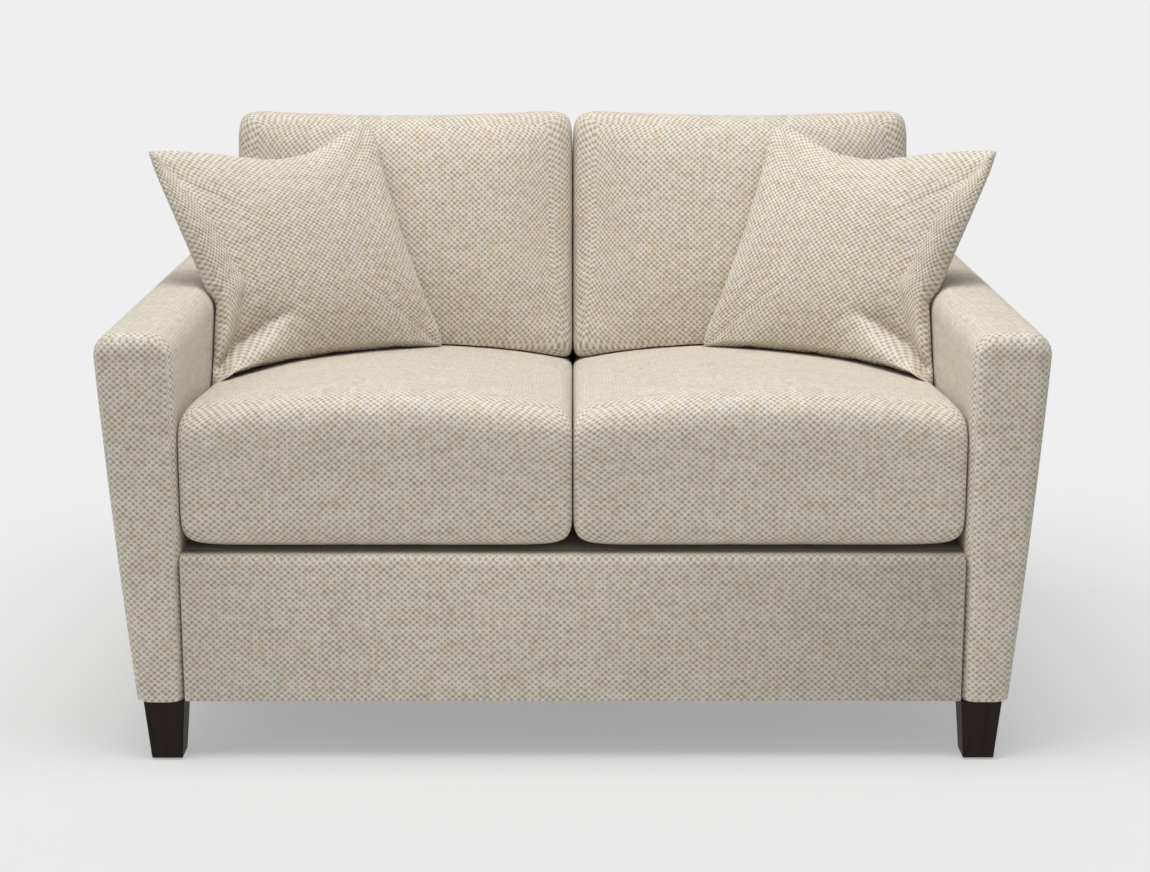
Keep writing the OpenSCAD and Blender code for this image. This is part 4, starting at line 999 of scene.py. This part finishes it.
def pillow_mesh(cells, share=1):
    """Two square panels, front and rear, joined along their knife edge."""
    bm = bmesh.new()
    bmesh.ops.create_grid(bm, x_segments=cells, y_segments=cells, size=1)
    front = bm.faces[:]
    rear = bmesh.ops.duplicate(bm, geom=bm.verts[:] + bm.edges[:] + front)["geom"]
    rear_faces = [part for part in rear if isinstance(part, bmesh.types.BMFace)]
    rear_verts = {part for part in rear if isinstance(part, bmesh.types.BMVert)}
    bmesh.ops.reverse_faces(bm, faces=rear_faces)
    layer = bm.loops.layers.uv.new("weave")
    for face in bm.faces:
        for loop in face.loops:
            loop[layer].uv = (loop.vert.co.x * PILLOW_HALF, loop.vert.co.y * PILLOW_HALF)
    for vert in bm.verts:
        side = -1 if vert in rear_verts else 1
        vert.co = pillow_form(vert.co.x, vert.co.y, side, share)
    bmesh.ops.remove_doubles(bm, verts=bm.verts, dist=PILLOW_SEAM_MERGE)
    bmesh.ops.recalc_face_normals(bm, faces=bm.faces)
    return bm


# Swelling a cushion with a cloth simulation

FRAMES = 20


def swell(piece, pressure, slack, cap, hold=0.0):
    """Blows a closed cover up a little.

    slack is spare cloth, cap the most a point may move, and hold how firmly it keeps its place.
    """
    start = [vert.co.copy() for vert in piece.data.vertices]
    modifier = piece.modifiers.new("swell", "CLOTH")
    settings = modifier.settings
    settings.quality = 6
    settings.mass = 0.3
    settings.tension_stiffness = 12
    settings.compression_stiffness = 12
    settings.shear_stiffness = 6
    settings.bending_stiffness = 0.4
    settings.use_pressure = True
    settings.uniform_pressure_force = pressure
    settings.shrink_min = -slack
    settings.effector_weights.gravity = 0
    if hold > 0:
        group = piece.vertex_groups.new(name="hold")
        group.add(range(len(start)), hold, "REPLACE")
        settings.vertex_group_mass = "hold"
        settings.pin_stiffness = 1.0
    modifier.point_cache.frame_start = 1
    modifier.point_cache.frame_end = FRAMES
    scene = bpy.context.scene
    for number in range(1, FRAMES + 1):
        scene.frame_set(number)
    graph = bpy.context.evaluated_depsgraph_get()
    moved = [vert.co.copy() for vert in piece.evaluated_get(graph).data.vertices]
    piece.modifiers.remove(modifier)
    scene.frame_set(1)
    piece.vertex_groups.clear()
    for vert, before, after in zip(piece.data.vertices, start, moved):
        move = after - before
        if move.length > cap:
            move *= cap / move.length
        vert.co = before + move
    piece.data.update()


KEEP_CLEAR_REACH = 60 * MM


def keep_clear(piece, neighbour, gap):
    """Moves points that are inside a neighbour, or too close to it, out to the gap."""
    bm = bmesh.new()
    bm.from_mesh(neighbour.data)
    bm.normal_update()
    tree = BVHTree.FromBMesh(bm)
    for vert in piece.data.vertices:
        place, normal = tree.find_nearest(vert.co, KEEP_CLEAR_REACH)[:2]
        if place is None:
            continue
        depth = (vert.co - place).dot(normal)
        if depth < gap:
            vert.co = vert.co + normal * (gap - depth)
    bm.free()
    piece.data.update()


def round_off(piece):
    """One level of subdivision over the finished cloth."""
    modifier = piece.modifiers.new("round_off", "SUBSURF")
    modifier.levels = 1
    modifier.render_levels = 1


SEAT_CELLS = (56, 70, 20)
BACK_CELLS = (56, 18, 42)
PILLOW_CELLS = 56
PILLOW_CLEARANCE = 1 * MM


def make_seat():
    bm = cube_grid(SEAT_CELLS)
    shape_cushion(bm, seat_form)
    return finished(bm, "seat_cushion_right_piece", WEAVE)


def make_back():
    bm = cube_grid(BACK_CELLS)
    shape_cushion(bm, back_form)
    return finished(bm, "back_cushion_right_piece", WEAVE)


def make_pillow():
    return finished(pillow_mesh(PILLOW_CELLS), "throw_pillow_right_piece", WEAVE)


PILLOW_FILL_SHARE = 0.88
FILLING_CELLS = 40


def make_filling():
    """The loose fill: the pillow's own shape, a little smaller all round."""
    bm = pillow_mesh(FILLING_CELLS, PILLOW_FILL_SHARE)
    return finished(bm, "throw_pillow_fill_right_piece", FIBRE)


# Zips

TOOTH_PITCH = 3.2 * MM
TOOTH_LENGTH = 1.7 * MM
TOOTH_HEIGHT = 4.2 * MM
TOOTH_DEPTH = 0.8 * MM
TOOTH_STAGGER_SHARE = 0.08
TAPE_EDGE = 0.5 * MM


def zip_chain(name, node):
    """Two tapes that meet in a row of moulded teeth, set on the cushion's rear wall."""
    low, high = corners_of(node)
    upright = (low.y + high.y) / 2
    middle = (low.z + high.z) / 2
    lean = BACK_LEAN if node.startswith("back") else 0
    thickness = (high.y - low.y - (high.z - low.z) * sin(lean)) / cos(lean)
    half_height = (high.z - low.z) / 2 / cos(lean)
    inner, outer = -thickness / 2, thickness / 2 - TOOTH_DEPTH
    bm = bmesh.new()
    for edge in (-1, 1):
        tape_low = min(edge * TAPE_EDGE / 2, edge * half_height)
        tape_high = max(edge * TAPE_EDGE / 2, edge * half_height)
        add_block(bm, (low.x, inner, tape_low), (high.x, outer, tape_high))
    teeth = int((high.x - low.x) / TOOTH_PITCH)
    first = (low.x + high.x) / 2 - (teeth - 1) * TOOTH_PITCH / 2
    for number in range(teeth):
        x = first + number * TOOTH_PITCH
        up = TOOTH_HEIGHT * (TOOTH_STAGGER_SHARE if number % 2 else -TOOTH_STAGGER_SHARE)
        add_block(bm, (x - TOOTH_LENGTH / 2, outer, up - TOOTH_HEIGHT / 2),
                  (x + TOOTH_LENGTH / 2, outer + TOOTH_DEPTH, up + TOOTH_HEIGHT / 2))
    bmesh.ops.rotate(bm, cent=(0, 0, 0), matrix=Matrix.Rotation(-lean, 3, "X"), verts=bm.verts)
    bmesh.ops.translate(bm, vec=(0, upright, middle), verts=bm.verts)
    return finished(bm, name, ZIP_TAPE, smooth=False)


# Staples that hold the dust cover to the boards above it

STAPLE_PITCH = 55 * MM
STAPLE_CROWN = 11 * MM
STAPLE_WIRE = 0.9 * MM
STAPLE_INSET = 14 * MM
STAPLE_TWIST = radians(14)
STAPLE_TWIST_SCALE = 37


def dust_cover_staples():
    """A row of wire crowns along each edge of the dust cover, each a little out of line."""
    low, high = corners_of("dust_cover")
    left, right = low.x + STAPLE_INSET, high.x - STAPLE_INSET
    front, rear = low.y + STAPLE_INSET, high.y - STAPLE_INSET
    bm = bmesh.new()

    def staple(x, y, turn):
        place = Vector((x, y, low.z))
        tilt = turn + STAPLE_TWIST * noise.noise(place * STAPLE_TWIST_SCALE)
        verts = add_block(bm, (-STAPLE_CROWN / 2, -STAPLE_WIRE / 2, -STAPLE_WIRE / 2),
                          (STAPLE_CROWN / 2, STAPLE_WIRE / 2, STAPLE_WIRE / 2))
        bmesh.ops.rotate(bm, cent=(0, 0, 0), matrix=Matrix.Rotation(tilt, 3, "Z"), verts=verts)
        bmesh.ops.translate(bm, vec=place, verts=verts)

    def row(length):
        count = int(length / STAPLE_PITCH)
        return [(number + 0.5) / count for number in range(count)]

    for share in row(right - left):
        for y in (front, rear):
            staple(left + (right - left) * share, y, 0)
    for share in row(rear - front):
        for x in (left, right):
            staple(x, front + (rear - front) * share, pi / 2)
    return finished(bm, "dust_cover_staples", STEEL, smooth=False)


# Putting the settee together

bpy.context.scene.view_settings.view_transform = "Standard"
add_camera()
add_side_light()
add_panel("softbox", SOFTBOX_WIDTH, SOFTBOX_DEPTH, SOFTBOX_POWER,
          (0, -SOFTBOX_FORWARD, SOFTBOX_HEIGHT))
add_panel("low_fill", LOW_LIGHT_WIDTH, LOW_LIGHT_DEPTH, LOW_LIGHT_POWER,
          LOW_LIGHT_PLACE, LOW_LIGHT_TILT, LOW_LIGHT_SPREAD)
add_world((AMBIENT,) * 3, (BACKDROP_LEVEL,) * 3)

floor_mesh = bmesh.new()
bmesh.ops.create_grid(floor_mesh, x_segments=1, y_segments=1, size=FLOOR_REACH)
floor = finished(floor_mesh, "floor", studio_floor("pale_floor"))

finish_cad_nodes()

right_arm = dress(arm_cover(), "frame", "basket_weave", "arm_cover_right")
left_arm = dress(mirrored(right_arm, "arm_cover_left_piece"), "frame", "basket_weave", "arm_cover_left")
dress(front_rail_cover(), "frame", "basket_weave", "front_rail_cover")
dress(inside_back_cover(), "frame", "basket_weave", "inside_back_cover")
cloths = ((outside_back_cover(), "basket_weave", "outside_back_cover", "back_top_rail"),
          (flat_cover("deck_cover", DECK_CLOTH), "deck_cloth", "deck_cover", "deck_pad"),
          (flat_cover("dust_cover", BLACK_CLOTH), "black_cloth", "dust_cover", "front_rail"))
for cloth, finish, node, carrier in cloths:
    dress(cloth, "frame", finish, node)
dress(dust_cover_staples(), "frame", "steel")
for end in ("front", "rear"):
    for side in ("left", "right"):
        node = f"leg_{end}_{side}"
        dress(leg(node + "_piece", node), "frame", "dark_wood", node)

seat = make_seat()
swell(seat, pressure=2, slack=0.005, cap=4 * MM, hold=0.5)
back = make_back()
swell(back, pressure=2, slack=0.01, cap=5 * MM, hold=0.5)
pillow = make_pillow()
swell(pillow, pressure=2, slack=0.03, cap=6 * MM, hold=0.4)
keep_clear(pillow, seat, PILLOW_CLEARANCE)
keep_clear(pillow, back, PILLOW_CLEARANCE)
filling = dress(make_filling(), "throw_pillow_right", "fibre", "throw_pillow_fill_right")
left_filling = dress(mirrored(filling, "throw_pillow_fill_left_piece"), "throw_pillow_left", "fibre",
                     "throw_pillow_fill_left")
for piece in (seat, back, pillow):
    round_off(piece)
for piece, body, node, fill in ((seat, "seat_cushion", "seat_cushion_cover", 0.8),
                                (back, "back_cushion", "back_cushion_cover", 0.7),
                                (pillow, "throw_pillow", "throw_pillow_cover", 0.7)):
    left_piece = mirrored(piece, piece.name.replace("right", "left"))
    round_off(left_piece)
    for one, side in ((piece, "right"), (left_piece, "left")):
        dress(one, f"{body}_{side}", "basket_weave", f"{node}_{side}")

for side in ("left", "right"):
    for kind in ("seat", "back"):
        node = f"{kind}_zip_chain_{side}"
        dress(zip_chain(node + "_piece", node), f"{kind}_cushion_{side}", "nylon", node)
